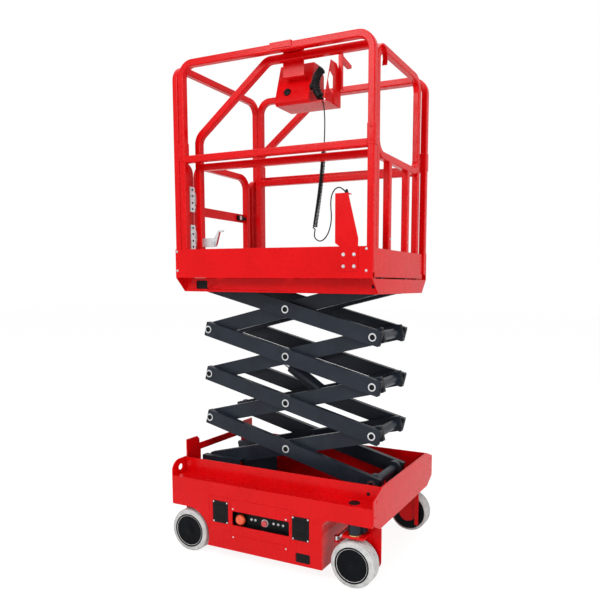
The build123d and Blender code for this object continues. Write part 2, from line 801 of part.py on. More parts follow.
with BuildPart() as platform_tracks:
    with BuildSketch(Plane.YZ.offset(track_rear)):
        for side in (-1, 1):
            Polygon(
                (side * upper_web_y, bar_low), (side * upper_web_y, upper_track_low - 4),
                (side * inner_out, upper_track_low - 4), (side * inner_out, upper_track_low),
                (side * (upper_web_y + 4), upper_track_low), (side * (upper_web_y + 4), upper_track_high),
                (side * inner_out, upper_track_high), (side * inner_out, upper_track_high + 4),
                (side * (upper_web_y + 4), upper_track_high + 4), (side * (upper_web_y + 4), bar_low),
                align=None,
            )
    extrude(amount=track_end - track_rear)
    with BuildSketch(Plane.XZ.offset(outer_in)):
        with Locations((right_x, (top_pivot_z + floor_low) / 2)):
            Rectangle(2 * ear_half, floor_low - top_pivot_z)
        with Locations((right_x, top_pivot_z)):
            Circle(ear_half)
            Circle(pin_radius + running_gap, mode=Mode.SUBTRACT)
    extrude(amount=arm_thick)
    with BuildSketch(Plane.XZ.offset(-outer_in)):
        with Locations((right_x, (top_pivot_z + floor_low) / 2)):
            Rectangle(2 * ear_half, floor_low - top_pivot_z)
        with Locations((right_x, top_pivot_z)):
            Circle(ear_half)
            Circle(pin_radius + running_gap, mode=Mode.SUBTRACT)
    extrude(amount=-arm_thick)
platform_tracks.part.label = "platform_tracks"
export_step(platform_tracks.part, "parts/platform_tracks.step")

with BuildPart() as deck_floor:
    with BuildSketch(Plane.XY.offset(floor_low)):
        with Locations(((platform_rear + floor_front) / 2, 0)):
            Rectangle(floor_front - platform_rear, 2 * bar_half)
    extrude(amount=floor_thick)
deck_floor.part.label = "deck_floor"
export_step(deck_floor.part, "parts/deck_floor.step")

with BuildPart() as toe_boards:
    with BuildSketch(Plane.XZ.offset(bar_half)):
        with Locations(((platform_rear + platform_front) / 2, (toe_low + toe_top) / 2)):
            Rectangle(platform_front - platform_rear, toe_top - toe_low)
    extrude(amount=toe_thick)
    mirror(about=Plane.XZ)
toe_boards.part.label = "toe_boards"
export_step(toe_boards.part, "parts/toe_boards.step")

# Fixed side rails
with BuildPart() as side_rails:
    add(bent_tube([
        (rail_rear_x, -rail_y, floor_top), (rail_rear_x, -rail_y, rail_top),
        (rail_front_x, -rail_y, rail_top), (rail_front_x, -rail_y, floor_top),
    ], bend))
    add(bent_tube([(rail_rear_x, -rail_y, rail_mid), (rail_front_x, -rail_y, rail_mid)], bend))
    mirror(about=Plane.XZ)
side_rails.part.label = "side_rails"
export_step(side_rails.part, "parts/side_rails.step")

# Rear frame with the two ears that the gate closes between
rear_rail_top = 2545.0
ear_top = 2060.0
far_ear_y = 297.0
with BuildPart() as rear_rail:
    add(bent_tube([
        (rear_rail_x, -rear_post_y, floor_top), (rear_rail_x, -rear_post_y, rear_rail_top),
        (rear_rail_x, rear_post_y, rear_rail_top), (rear_rail_x, rear_post_y, floor_top),
    ], bend))
    for post_y, y in ((-rear_post_y, -ear_y), (rear_post_y, far_ear_y)):
        add(bent_tube([
            (rear_rail_x, post_y, ear_top), (rear_rail_x, y, ear_top), (rear_rail_x, y, floor_top),
        ], 40))
rear_rail.part.label = "rear_rail"
export_step(rear_rail.part, "parts/rear_rail.step")

# Gate: an arch with a plate, hung on two pins beside the near ear
hinge_radius = 7.0
knuckle_radius = 12.0
hinge_low_z = 1690.0
hinge_high_z = 1890.0
hinge_half = 30.0
gate_plate_z = 1836.0
gate_plate = 50.0
gate_toe = 80.0
far_gate_y = far_ear_y - tube - 19
with BuildPart() as gate:
    add(bent_tube([
        (rear_rail_x, -gate_post_y, gate_low), (rear_rail_x, -gate_post_y, gate_top),
        (rear_rail_x, far_gate_y, gate_top), (rear_rail_x, far_gate_y, gate_low),
    ], bend))
    with BuildSketch(Plane.YZ.offset(rear_rail_x - 3)):
        with Locations(((far_gate_y - gate_post_y) / 2, gate_plate_z)):
            Rectangle(far_gate_y + gate_post_y, gate_plate)
        with Locations(((far_gate_y - gate_post_y) / 2, gate_low + gate_toe / 2)):
            Rectangle(far_gate_y + gate_post_y, gate_toe)
    extrude(amount=6)
    for z in (hinge_low_z, hinge_high_z):
        with BuildSketch(Plane.XY.offset(z - hinge_half)):
            with Locations((rear_rail_x, -gate_hinge_y)):
                Circle(knuckle_radius)
            with Locations((rear_rail_x, -(gate_hinge_y + gate_post_y) / 2)):
                Rectangle(10, gate_hinge_y - gate_post_y)
            with Locations((rear_rail_x, -gate_hinge_y)):
                Circle(hinge_radius + running_gap, mode=Mode.SUBTRACT)
        extrude(amount=2 * hinge_half)
gate.part.label = "gate"
export_step(gate.part, "parts/gate.step")

with BuildPart() as gate_hinges:
    for z in (hinge_low_z, hinge_high_z):
        with Locations((rear_rail_x, -gate_hinge_y, z)):
            Cylinder(hinge_radius, 2 * hinge_half + 24)
        for end in (-1, 1):
            with Locations((rear_rail_x, -(ear_y - tube / 2 + gate_hinge_y) / 2, z + end * (hinge_half + 9))):
                Box(2 * hinge_radius, ear_y - tube / 2 - gate_hinge_y, 8)
gate_hinges.part.label = "gate_hinges"
export_step(gate_hinges.part, "parts/gate_hinges.step")

# Roll-out deck: floor on runners, a front toe plate and its own rails
runner = 30.0
extension_half = rail_y - tube / 2 - 9
extension_rear = inner_rear_x - tube / 2
extension_front = 549.0
front_toe_half = rail_y - tube / 2 - 5
front_toe_low = toe_low + 7
front_toe_top = toe_top - 6
front_toe = 6.0
with BuildPart() as extension_deck:
    with BuildSketch(Plane.XY.offset(extension_low)):
        with Locations(((extension_rear + extension_front) / 2, 0)):
            Rectangle(extension_front - extension_rear, 2 * extension_half)
    extrude(amount=extension_top - extension_low)
    for y in (-extension_half + runner, 0, extension_half - runner):
        with Locations(((extension_rear + floor_front - 10) / 2, y, floor_top + slide_gap)):
            Box(
                floor_front - 10 - extension_rear, runner, extension_low - floor_top - slide_gap,
                align=(Align.CENTER, Align.CENTER, Align.MIN),
            )
    with BuildSketch(Plane.YZ.offset(extension_front - front_toe)):
        with Locations((0, (front_toe_low + front_toe_top) / 2)):
            Rectangle(2 * front_toe_half, front_toe_top - front_toe_low)
    extrude(amount=front_toe)
extension_deck.part.label = "extension_deck"
export_step(extension_deck.part, "parts/extension_deck.step")

slope_low = 2200.0
slope_top_x = -55.0
with BuildPart() as inner_rails:
    add(bent_tube([
        (inner_rear_x, -inner_rail_y, extension_top), (inner_rear_x, -inner_rail_y, slope_low),
        (slope_top_x, -inner_rail_y, inner_rail_top), (inner_front_x - tube / 2, -inner_rail_y, inner_rail_top),
    ], bend))
    add(bent_tube([
        (inner_rear_x, -inner_rail_y, inner_mid), (inner_front_x - tube / 2, -inner_rail_y, inner_mid),
    ], bend))
    mirror(about=Plane.XZ)
inner_rails.part.label = "inner_rails"
export_step(inner_rails.part, "parts/inner_rails.step")

bar_y = 125.0
front_mid_end = inner_mid + bend + 15
with BuildPart() as front_rail:
    add(bent_tube([
        (inner_front_x, -inner_rail_y, extension_top), (inner_front_x, -inner_rail_y, inner_rail_top),
        (inner_front_x, inner_rail_y, inner_rail_top), (inner_front_x, inner_rail_y, extension_top),
    ], bend))
    add(bent_tube([
        (inner_front_x, -inner_rail_y, front_mid_end), (inner_front_x, -inner_rail_y, inner_mid),
        (inner_front_x, inner_rail_y, inner_mid), (inner_front_x, inner_rail_y, front_mid_end),
    ], bend))
    for side in (-1, 1):
        add(bent_tube([
            (inner_front_x, side * bar_y, extension_top), (inner_front_x, side * bar_y, inner_mid),
        ], bend))
front_rail.part.label = "front_rail"
export_step(front_rail.part, "parts/front_rail.step")

# Control box hung inside the near side rail by a wide strap, with a guard round its joystick
box_rear = -40.0
box_front = 152.0
guard_front = 245.0
box_low = 2326.0
box_tall = 204.0
box_high = box_low + box_tall
box_out = inner_rail_y - tube / 2 - 12
box_lean = 62.0
box_in = 86.0
guard_sheet = 4.0
grip_radius = 19.0
grip_top = (box_front + 52, -box_out + 38, box_high - 52)
grip_middle = (box_front + 27, -box_out + 28, box_low + 78)
grip_foot = (box_front + 50, -box_out + 30, box_low + 26)
cord_hole = 11.0
cord_hole_x = grip_foot[0] + 17
hook_thick = 4.0
hook_rear = 15.0
hook_front = 133.0
hook_in_y = inner_rail_y - tube / 2 - 5
hook_top = rail_top + tube / 2
hook_low = box_high - 80
hook_foot_y = box_out - box_lean * (hook_low - box_low) / (box_high - box_low)
with BuildPart() as control_box:
    with BuildSketch(Plane.YZ.offset(box_rear)):
        Polygon(
            (-box_out, box_low + 14), (-box_out + 14, box_low), (-box_in, box_low),
            (-box_in, box_high - 40), (-box_in - 40, box_high), (-box_out + box_lean, box_high), align=None,
        )
    extrude(amount=box_front - box_rear)
    with BuildSketch(Plane.YZ.offset(guard_front - guard_sheet)):
        Polygon(
            (-box_out, box_low + 14), (-box_out + 14, box_low), (-box_in, box_low),
            (-box_in, box_high - 40), (-box_in - 40, box_high), (-box_out + box_lean, box_high), align=None,
        )
        with Locations((-(box_out + box_in - 20) / 2, (box_low + box_high) / 2)):
            RegularPolygon(62, 8, mode=Mode.SUBTRACT)
    extrude(amount=guard_sheet)
    with BuildSketch(Plane.XY.offset(box_low)):
        with Locations(((box_front + guard_front) / 2, -(box_out - 14 + box_in) / 2)):
            Rectangle(guard_front - box_front, box_out - 14 - box_in)
        with Locations((cord_hole_x, grip_foot[1])):
            Circle(cord_hole, mode=Mode.SUBTRACT)
    extrude(amount=guard_sheet)
    with BuildSketch(Plane.YZ.offset(hook_rear)):
        Polygon(
            (-hook_in_y + hook_thick, hook_low), (-hook_in_y, hook_low), (-hook_in_y, hook_top),
            (-rail_y - tube / 2, hook_top), (-rail_y - tube / 2, hook_top - 24),
            (-rail_y - tube / 2 - hook_thick, hook_top - 24),
            (-rail_y - tube / 2 - hook_thick, hook_top + hook_thick),
            (-hook_in_y + hook_thick, hook_top + hook_thick), align=None,
        )
        Polygon(
            (-hook_in_y, hook_low), (-hook_foot_y + 2, hook_low), (-hook_foot_y + 2, hook_low + hook_thick),
            (-hook_in_y, hook_low + hook_thick), align=None,
        )
    extrude(amount=hook_front - hook_rear)
control_box.part.label = "control_box"
export_step(control_box.part, "parts/control_box.step")

with BuildPart() as joystick:
    with BuildLine() as grip_path:
        ThreePointArc(grip_top, grip_middle, grip_foot)
    with BuildSketch(Plane(origin=grip_path.wire() @ 0, z_dir=grip_path.wire() % 0)):
        Circle(grip_radius)
    sweep(path=grip_path.wire())
    with BuildSketch(Plane.YZ.offset(box_front)):
        with Locations((grip_middle[1], grip_middle[2])):
            Circle(grip_radius - 4)
    extrude(amount=grip_middle[0] - box_front)
joystick.part.label = "joystick"
export_step(joystick.part, "parts/joystick.step")

# Cable bracket bolted outside the near toe board, its top folded in over the rail's foot
bracket_low = 1508.0
bracket_top = 1862.0
bracket_thick = 4.0
bracket_left = 368.0
bracket_foot = 394.0
bracket_right = 486.0
bracket_tip = 434.0
bracket_fold = 36.0
with BuildPart() as cable_bracket:
    with BuildSketch(Plane.XZ.offset(platform_half)):
        Polygon(
            (bracket_foot, bracket_low), (bracket_right, bracket_low), (bracket_right, toe_top + 36),
            (bracket_tip, bracket_top), (bracket_left, bracket_top), (bracket_left, toe_top + 15),
            (bracket_foot, toe_top - 3), align=None,
        )
    extrude(amount=bracket_thick)
    with BuildSketch(Plane.XZ.offset(platform_half)):
        with Locations(((bracket_left + bracket_tip) / 2, bracket_top - bracket_thick / 2)):
            Rectangle(bracket_tip - bracket_left, bracket_thick)
        with Locations((bracket_left + bracket_thick / 2, (toe_top + 15 + bracket_top) / 2)):
            Rectangle(bracket_thick, bracket_top - toe_top - 15)
    extrude(amount=-bracket_fold)
cable_bracket.part.label = "cable_bracket"
export_step(cable_bracket.part, "parts/cable_bracket.step")

# Cord of the control box: a hanging lead, a curly length and a loop up to the bracket
lead_radius = 3.5
curl_radius = 11.0
lead_points = [
    grip_foot, (cord_hole_x, grip_foot[1], grip_foot[2] - 21), (cord_hole_x + 7, -216, 2262),
    (cord_hole_x + 3, -210, 2180), (cord_hole_x - 5, -203, 2099),
]
curl_points = [
    lead_points[-1], (203, -203, 1978), (186, -206, 1846), (173, -222, 1720),
]
loop_points = [
    curl_points[-1], (181, -240, 1674), (222, -260, 1651), (268, -283, 1667), (302, -302, 1711),
    (318, -318, 1764), (319, -332, 1814), (329, -345, 1859), (356, -356, 1890), (392, -362, 1893),
    (bracket_tip - 16, -platform_half + 15, bracket_top),
]


def cord_radii(points):
    """Bend radius at each inner point: most of the shorter run beside it."""
    radii = []
    for before, here, after in zip(points, points[1:], points[2:]):
        into = Vector(*here) - Vector(*before)
        out = Vector(*after) - Vector(*here)
        turn = radians(into.get_angle(out))
        radii.append(0.45 * min(into.length, out.length) / tan(turn / 2))
    return radii


def cord_tube(points, radius):
    """Round tube along straight runs joined by tangent arcs."""
    radii = cord_radii(points)
    with BuildPart() as piece:
        with BuildLine() as path:
            FilletPolyline(*points, radius=radii)
        with BuildSketch(Plane(origin=path.wire() @ 0, z_dir=path.wire() % 0)):
            Circle(radius)
        sweep(path=path.wire())
    length = path.wire().length
    print("cord", [round(value, 1) for value in radii], "length", round(length, 1))
    print("volume ratio", round(piece.part.volume / (pi * radius**2 * length), 4))
    return piece.part


cord_lead = cord_tube(lead_points, lead_radius)
cord_lead.label = "cord_lead"
export_step(cord_lead, "parts/cord_lead.step")

cord_curl = cord_tube(curl_points, curl_radius)
cord_curl.label = "cord_curl"
export_step(cord_curl, "parts/cord_curl.step")

cord_loop = cord_tube(loop_points, lead_radius)
cord_loop.label = "cord_loop"
export_step(cord_loop, "parts/cord_loop.step")

# Foot latch of the roll-out deck: a block on the near inner rail's rear post and its lever
latch_rear = inner_rear_x + tube / 2
latch_front = inner_rear_x + 96
latch_low = 1637.0
latch_high = 1682.0
latch_wide = 24.0
lever_wide = 14.0
lever_tip_x = inner_rear_x + 146
lever_tip_z = 1722.0
with BuildPart() as foot_latch:
    with Locations(((latch_rear + latch_front) / 2, -inner_rail_y, (latch_low + latch_high) / 2)):
        Box(latch_front - latch_rear, latch_wide, latch_high - latch_low)
    with BuildSketch(Plane.XZ.offset(inner_rail_y - lever_wide / 2)):
        Polygon(
            (latch_front - 20, latch_low + 8), (latch_front + 6, latch_low + 8),
            (lever_tip_x - 22, lever_tip_z - 8), (lever_tip_x, lever_tip_z - 8), (lever_tip_x, lever_tip_z),
            (lever_tip_x - 28, lever_tip_z), (latch_front - 20, latch_low + 22), align=None,
        )
    extrude(amount=lever_wide)
foot_latch.part.label = "foot_latch"
export_step(foot_latch.part, "parts/foot_latch.step")
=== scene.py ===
"""Studio scene of the small scissor lift: finishes, trim, the cord, light and camera."""
import json
import math

import bmesh
import bpy
from mathutils import Matrix, Vector


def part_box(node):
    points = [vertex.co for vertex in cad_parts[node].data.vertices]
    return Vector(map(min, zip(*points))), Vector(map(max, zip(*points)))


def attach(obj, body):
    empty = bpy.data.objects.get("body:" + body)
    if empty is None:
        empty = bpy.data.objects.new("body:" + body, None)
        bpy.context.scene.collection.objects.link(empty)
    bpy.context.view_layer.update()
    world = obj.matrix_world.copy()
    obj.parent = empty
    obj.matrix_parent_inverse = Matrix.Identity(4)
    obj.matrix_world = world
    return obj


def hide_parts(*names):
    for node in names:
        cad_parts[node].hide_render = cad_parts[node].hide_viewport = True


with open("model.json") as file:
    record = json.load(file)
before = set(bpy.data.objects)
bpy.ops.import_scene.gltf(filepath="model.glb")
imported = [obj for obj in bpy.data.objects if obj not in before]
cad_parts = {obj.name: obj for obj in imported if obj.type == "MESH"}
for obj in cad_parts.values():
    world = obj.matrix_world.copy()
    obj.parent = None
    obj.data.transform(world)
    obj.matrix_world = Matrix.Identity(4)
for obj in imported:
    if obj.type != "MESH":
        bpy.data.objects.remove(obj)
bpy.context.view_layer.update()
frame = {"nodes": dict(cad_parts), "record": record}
nodes = frame["nodes"]
MM = 0.001
NEAR, FAR, FRONT, UP = (0, -1, 0), (0, 1, 0), (1, 0, 0), (0, 0, 1)
STAGES = 4


# Procedural materials

def new_material(name):
    """An empty material with its shader and its object coordinates."""
    mat = bpy.data.materials.new(name)
    mat.use_nodes = True
    tree = mat.node_tree
    shader = tree.nodes["Principled BSDF"]
    coords = tree.nodes.new("ShaderNodeTexCoord")
    return mat, tree, shader, coords.outputs["Object"]


def noise(tree, coords, scale, detail=4.0, rough=0.55):
    node = tree.nodes.new("ShaderNodeTexNoise")
    node.inputs["Scale"].default_value = scale
    node.inputs["Detail"].default_value = detail
    node.inputs["Roughness"].default_value = rough
    tree.links.new(coords, node.inputs["Vector"])
    return node.outputs["Fac"]


def ramp(tree, value, stops):
    """Colours along a value; a colour of one number is a grey."""
    node = tree.nodes.new("ShaderNodeValToRGB")
    band = node.color_ramp
    while len(band.elements) < len(stops):
        band.elements.new(0.5)
    for element, (place, colour) in zip(band.elements, stops):
        element.position = place
        element.color = (*colour, 1) if len(colour) == 3 else (colour[0],) * 3 + (1,)
    tree.links.new(value, node.inputs["Fac"])
    return node.outputs["Color"]


def bump(tree, shader, height, strength, distance):
    node = tree.nodes.new("ShaderNodeBump")
    node.inputs["Strength"].default_value = strength
    node.inputs["Distance"].default_value = distance
    tree.links.new(height, node.inputs["Height"])
    tree.links.new(node.outputs["Normal"], shader.inputs["Normal"])


def finish_material(name, deep, pale, gloss, metal=0.0, coat=0.0, patch=9.0, grain=900.0, depth=0.00006,
                    specular=0.5):
    """Two close tones in soft patches, an uneven gloss and a fine grain."""
    mat, tree, shader, coords = new_material(name)
    patches = noise(tree, coords, patch, detail=5.0, rough=0.6)
    tree.links.new(ramp(tree, patches, [(0.3, deep), (0.72, pale)]), shader.inputs["Base Color"])
    smears = noise(tree, coords, patch * 4.3, detail=6.0, rough=0.65)
    sheen = ramp(tree, smears, [(0.3, (gloss[0],)), (0.75, (gloss[1],))])
    tree.links.new(sheen, shader.inputs["Roughness"])
    bump(tree, shader, noise(tree, coords, grain, detail=2.0), strength=0.15, distance=depth)
    shader.inputs["Metallic"].default_value = metal
    shader.inputs["Coat Weight"].default_value = coat
    shader.inputs["Coat Roughness"].default_value = 0.1
    shader.inputs["Specular IOR Level"].default_value = specular
    return mat


def tyre_material():
    """Pale rubber with darker scuffs."""
    mat, tree, shader, coords = new_material("pale_rubber")
    scuffs = noise(tree, coords, 26.0, detail=8.0, rough=0.7)
    tones = [(0.25, (0.33, 0.33, 0.325)), (0.5, (0.58, 0.58, 0.57)), (0.8, (0.71, 0.71, 0.70))]
    tree.links.new(ramp(tree, scuffs, tones), shader.inputs["Base Color"])
    shader.inputs["Roughness"].default_value = 0.78
    bump(tree, shader, noise(tree, coords, 420.0, detail=6.0), strength=0.4, distance=0.0004)
    return mat


def chequer_material():
    """Worn dark deck plate with raised lozenges."""
    mat, tree, shader, coords = new_material("deck_tread")
    turn = tree.nodes.new("ShaderNodeMapping")
    turn.inputs["Rotation"].default_value = (0, 0, math.radians(45))
    tree.links.new(coords, turn.inputs["Vector"])
    cells = tree.nodes.new("ShaderNodeTexChecker")
    cells.inputs["Scale"].default_value = 46.0
    tree.links.new(turn.outputs["Vector"], cells.inputs["Vector"])
    wear = noise(tree, coords, 18.0, detail=7.0, rough=0.65)
    tones = [(0.3, (0.10, 0.10, 0.105)), (0.75, (0.24, 0.24, 0.25))]
    tree.links.new(ramp(tree, wear, tones), shader.inputs["Base Color"])
    shader.inputs["Roughness"].default_value = 0.5
    shader.inputs["Metallic"].default_value = 0.6
    bump(tree, shader, cells.outputs["Fac"], strength=0.4, distance=0.0015)
    return mat


red = finish_material("red_enamel", (0.63, 0.0009, 0.002), (0.72, 0.002, 0.0045), (0.22, 0.34),
                      coat=0.05, patch=5.0, depth=0.00002, specular=0.14)
dark = finish_material("blue_grey_enamel", (0.011, 0.015, 0.023), (0.020, 0.026, 0.037), (0.30, 0.46),
                       specular=0.2)
steel = finish_material("zinc_plate", (0.52, 0.53, 0.55), (0.72, 0.73, 0.74), (0.24, 0.42),
                        metal=1.0, patch=40.0)
chrome = finish_material("hard_chrome", (0.70, 0.71, 0.73), (0.82, 0.83, 0.85), (0.05, 0.14),
                         metal=1.0, patch=30.0)
black = finish_material("black_moulding", (0.002, 0.002, 0.003), (0.005, 0.005, 0.006), (0.38, 0.6),
                        specular=0.14)
hub_black = finish_material("hub_black", (0.001, 0.001, 0.002), (0.003, 0.004, 0.006), (0.4, 0.6),
                            specular=0.08)
rubber = finish_material("black_sheath", (0.002, 0.002, 0.002), (0.006, 0.006, 0.006), (0.45, 0.62),
                         specular=0.2)
orange = finish_material("stop_button", (0.74, 0.07, 0.012), (0.86, 0.10, 0.02), (0.2, 0.32),
                         coat=0.3, patch=40.0)
button = finish_material("red_button", (0.56, 0.03, 0.035), (0.70, 0.05, 0.055), (0.2, 0.32),
                         coat=0.3, patch=40.0)
white = finish_material("white_moulding", (0.66, 0.66, 0.64), (0.80, 0.80, 0.78), (0.3, 0.45), patch=40.0)
brass = finish_material("yellow_zinc", (0.55, 0.38, 0.14), (0.72, 0.54, 0.26), (0.24, 0.4),
                        metal=1.0, patch=50.0)
tyre_skin = tyre_material()
deck_skin = chequer_material()

slot_material = {
    "red_paint": red, "dark_paint": dark, "steel": steel, "chrome": chrome, "deck_plate": deck_skin,
    "black_plastic": black, "button_red": button, "grey_tyre": tyre_skin, "cord_black": rubber,
}
for part in frame["record"]["subparts"]:
    mesh = nodes[part["node"]].data
    mesh.materials.clear()
    mesh.materials.append(slot_material[part["material_slot"]])

# Folded sheet and cut plate get a small broken edge, in millimetres, that catches the light
SOFT_EDGES = {
    "tub": 2.0, "front_plate": 1.5, "rear_plate": 1.5, "toe_boards": 1.2, "platform_frame": 1.2,
    "control_box": 1.2, "cable_bracket": 1.0, "extension_deck": 1.0, "battery_pack": 6.0, "power_unit": 6.0,
    "front_beam": 2.0, "knuckle_near": 2.0, "knuckle_far": 2.0, "control_panel": 0.8, "gate_hinges": 0.8,
}
for i in range(1, STAGES + 1):
    SOFT_EDGES[f"outer_arms_{i}"] = 2.5
    SOFT_EDGES[f"inner_arms_{i}"] = 2.5
for name, width in SOFT_EDGES.items():
    weld = nodes[name].modifiers.new("weld", "WELD")
    weld.merge_threshold = 0.00002
    edge = nodes[name].modifiers.new("edge", "BEVEL")
    edge.width = width * MM
    edge.segments = 2
    edge.limit_method = "ANGLE"
    edge.angle_limit = math.radians(50)
    edge.use_clamp_overlap = True
    flat = nodes[name].modifiers.new("flat", "WEIGHTED_NORMAL")
    flat.keep_sharp = True
    flat.weight = 90


# Mesh helpers, all in millimetres

def to_object(bm, name, material, body, smooth_angle=35.0):
    """Turns a bmesh made in millimetres into a piece that rides on a body."""
    bmesh.ops.scale(bm, vec=(MM, MM, MM), verts=bm.verts)
    bmesh.ops.recalc_face_normals(bm, faces=bm.faces)
    mesh = bpy.data.meshes.new(name)
    bm.to_mesh(mesh)
    bm.free()
    mesh.materials.append(material)
    mesh.shade_smooth()
    mesh.set_sharp_from_angle(angle=math.radians(smooth_angle))
    obj = bpy.data.objects.new(name, mesh)
    bpy.context.scene.collection.objects.link(obj)
    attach(obj, body)
    return obj


def turn_to(normal):
    return Vector(normal).to_track_quat("Z", "Y").to_matrix()


def join_rings(bm, rings):
    """Faces between each ring of points and the next; a ring of one point closes an end."""
    for low, high in zip(rings, rings[1:]):
        count = max(len(low), len(high))
        for k in range(count):
            n = (k + 1) % count
            if len(low) == 1:
                bm.faces.new((low[0], high[k], high[n]))
            elif len(high) == 1:
                bm.faces.new((low[k], high[0], low[n]))
            else:
                bm.faces.new((low[k], low[n], high[n], high[k]))


def add_lathe(bm, profile, at, normal, segments=32):
    """Revolves (radius, height) pairs about a line through a point."""
    turn = turn_to(normal)
    rings = []
    for radius, height in profile:
        if radius == 0:
            rings.append([bm.verts.new(Vector(at) + turn @ Vector((0, 0, height)))])
            continue
        ring = []
        for k in range(segments):
            a = 2 * math.pi * k / segments
            spot = Vector((radius * math.cos(a), radius * math.sin(a), height))
            ring.append(bm.verts.new(Vector(at) + turn @ spot))
        rings.append(ring)
    join_rings(bm, rings)


def add_prism(bm, outline, at, x_dir, y_dir, depth, bevel=0.6):
    """Extrudes a flat outline and breaks its front edge."""
    x_dir, y_dir = Vector(x_dir).normalized(), Vector(y_dir).normalized()
    out = x_dir.cross(y_dir)
    count = len(outline)
    centre = Vector((sum(p[0] for p in outline) / count, sum(p[1] for p in outline) / count))
    reach = max((Vector(p) - centre).length for p in outline)
    shrink = 1 - bevel / reach
    rings = []
    for height, scale in ((0, 1.0), (depth - bevel, 1.0), (depth, shrink)):
        ring = []
        for p in outline:
            q = centre + (Vector(p) - centre) * scale
            ring.append(bm.verts.new(Vector(at) + x_dir * q.x + y_dir * q.y + out * height))
        rings.append(ring)
    join_rings(bm, rings)
    bm.faces.new(rings[0][::-1])
    bm.faces.new(rings[-1])


def add_strip(bm, path, across, width, thick):
    """A flat strip of even thickness, bent along a path of points."""
    across = Vector(across).normalized()
    sections = []
    for k, point in enumerate(path):
        before = Vector(path[max(k - 1, 0)])
        after = Vector(path[min(k + 1, len(path) - 1)])
        face = across.cross((after - before).normalized())
        corners = []
        for side, layer in ((-1, -1), (1, -1), (1, 1), (-1, 1)):
            spot = Vector(point) + across * side * width / 2 + face * layer * thick / 2
            corners.append(bm.verts.new(spot))
        sections.append(corners)
    join_rings(bm, sections)
    bm.faces.new(sections[0][::-1])
    bm.faces.new(sections[-1])


def rounded(width, height, radius, steps=5):
    """Outline of a rectangle with round corners."""
    points = []
    for cx, cy, start in ((1, 1, 0), (-1, 1, 90), (-1, -1, 180), (1, -1, 270)):
        for k in range(steps + 1):
            a = math.radians(start + 90 * k / steps)
            x = cx * (width / 2 - radius) + radius * math.cos(a)
            y = cy * (height / 2 - radius) + radius * math.sin(a)
            points.append((x, y))
    return points


def add_bolt(bm, at, normal, size):
    """Hexagon head on a washer, both in shares of the thread's size."""
    washer_top = size * 0.2
    rim = size * 1.05
    washer = [(0, 0), (rim, 0), (rim, size * 0.14), (size * 0.98, washer_top), (0, washer_top)]
    add_lathe(bm, washer, at, normal, segments=24)
    turn = turn_to(normal)
    wide, tall = size * 0.95, size * 0.62
    rings = []
    for radius, lift in ((wide, 0), (wide, tall * 0.82), (wide * 0.86, tall)):
        ring = []
        for k in range(6):
            a = math.radians(60 * k)
            spot = Vector((radius * math.cos(a), radius * math.sin(a), washer_top + lift))
            ring.append(bm.verts.new(Vector(at) + turn @ spot))
        rings.append(ring)
    join_rings(bm, rings)
    bm.faces.new(rings[-1])


def add_dome(bm, at, normal, radius, height, steps=6):
    """Round button head."""
    profile = [(0, 0), (radius, 0)]
    for k in range(1, steps):
        a = math.pi / 2 * k / steps
        profile.append((radius * math.cos(a), height * math.sin(a)))
    profile.append((0, height))
    add_lathe(bm, profile, at, normal, segments=24)


def bolts(name, body, places, size, material=steel):
    """One piece of bolt heads, at (place, normal) pairs."""
    bm = bmesh.new()
    for at, normal in places:
        add_bolt(bm, at, normal, size)
    to_object(bm, name, material, body)


def domes(name, body, places, radius, material):
    """One piece of round heads, half as high as their radius."""
    bm = bmesh.new()
    for at, normal in places:
        add_dome(bm, at, normal, radius, radius * 0.5)
    to_object(bm, name, material, body)


def both_sides(points):
    """Each point on the near side with its twin on the far side."""
    near = [((x, -y, z), NEAR) for x, y, z in points]
    return near + [((x, y, z), FAR) for x, y, z in points]


def span(node):
    """Low and high corner of a CAD node, in millimetres."""
    low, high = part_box(node)
    return Vector(low) / MM, Vector(high) / MM


# Scissor stack: dark caps in the pin heads, sleeves round the through pins, and plugs in the tube ends
PIN_RADIUS = 25.0
CAP_RADIUS = 14.0
SLEEVE_HALF = 114.0
OUTER_ARM_Y = 167.0
INNER_ARM_Y = 131.0
FRONT_OVERHANG = 40.0
cap_profile = [(0, -1), (CAP_RADIUS, -1), (CAP_RADIUS, 1.4), (12.8, 2), (7, 2), (6.4, 0.6), (0, 0.6)]
sleeve_profile = [
    (PIN_RADIUS - 1, -SLEEVE_HALF), (PIN_RADIUS + 0.6, 1 - SLEEVE_HALF),
    (PIN_RADIUS + 0.6, SLEEVE_HALF - 1), (PIN_RADIUS - 1, SLEEVE_HALF),
]
plug_outline = rounded(23, 70, 4)
first_low, first_high = span("outer_pins_1")
x_front = first_high.x - PIN_RADIUS
x_rear = first_low.x + PIN_RADIUS
stage_rise = first_high.z - first_low.z - 2 * PIN_RADIUS
slope = math.atan2(stage_rise, x_front - x_rear)
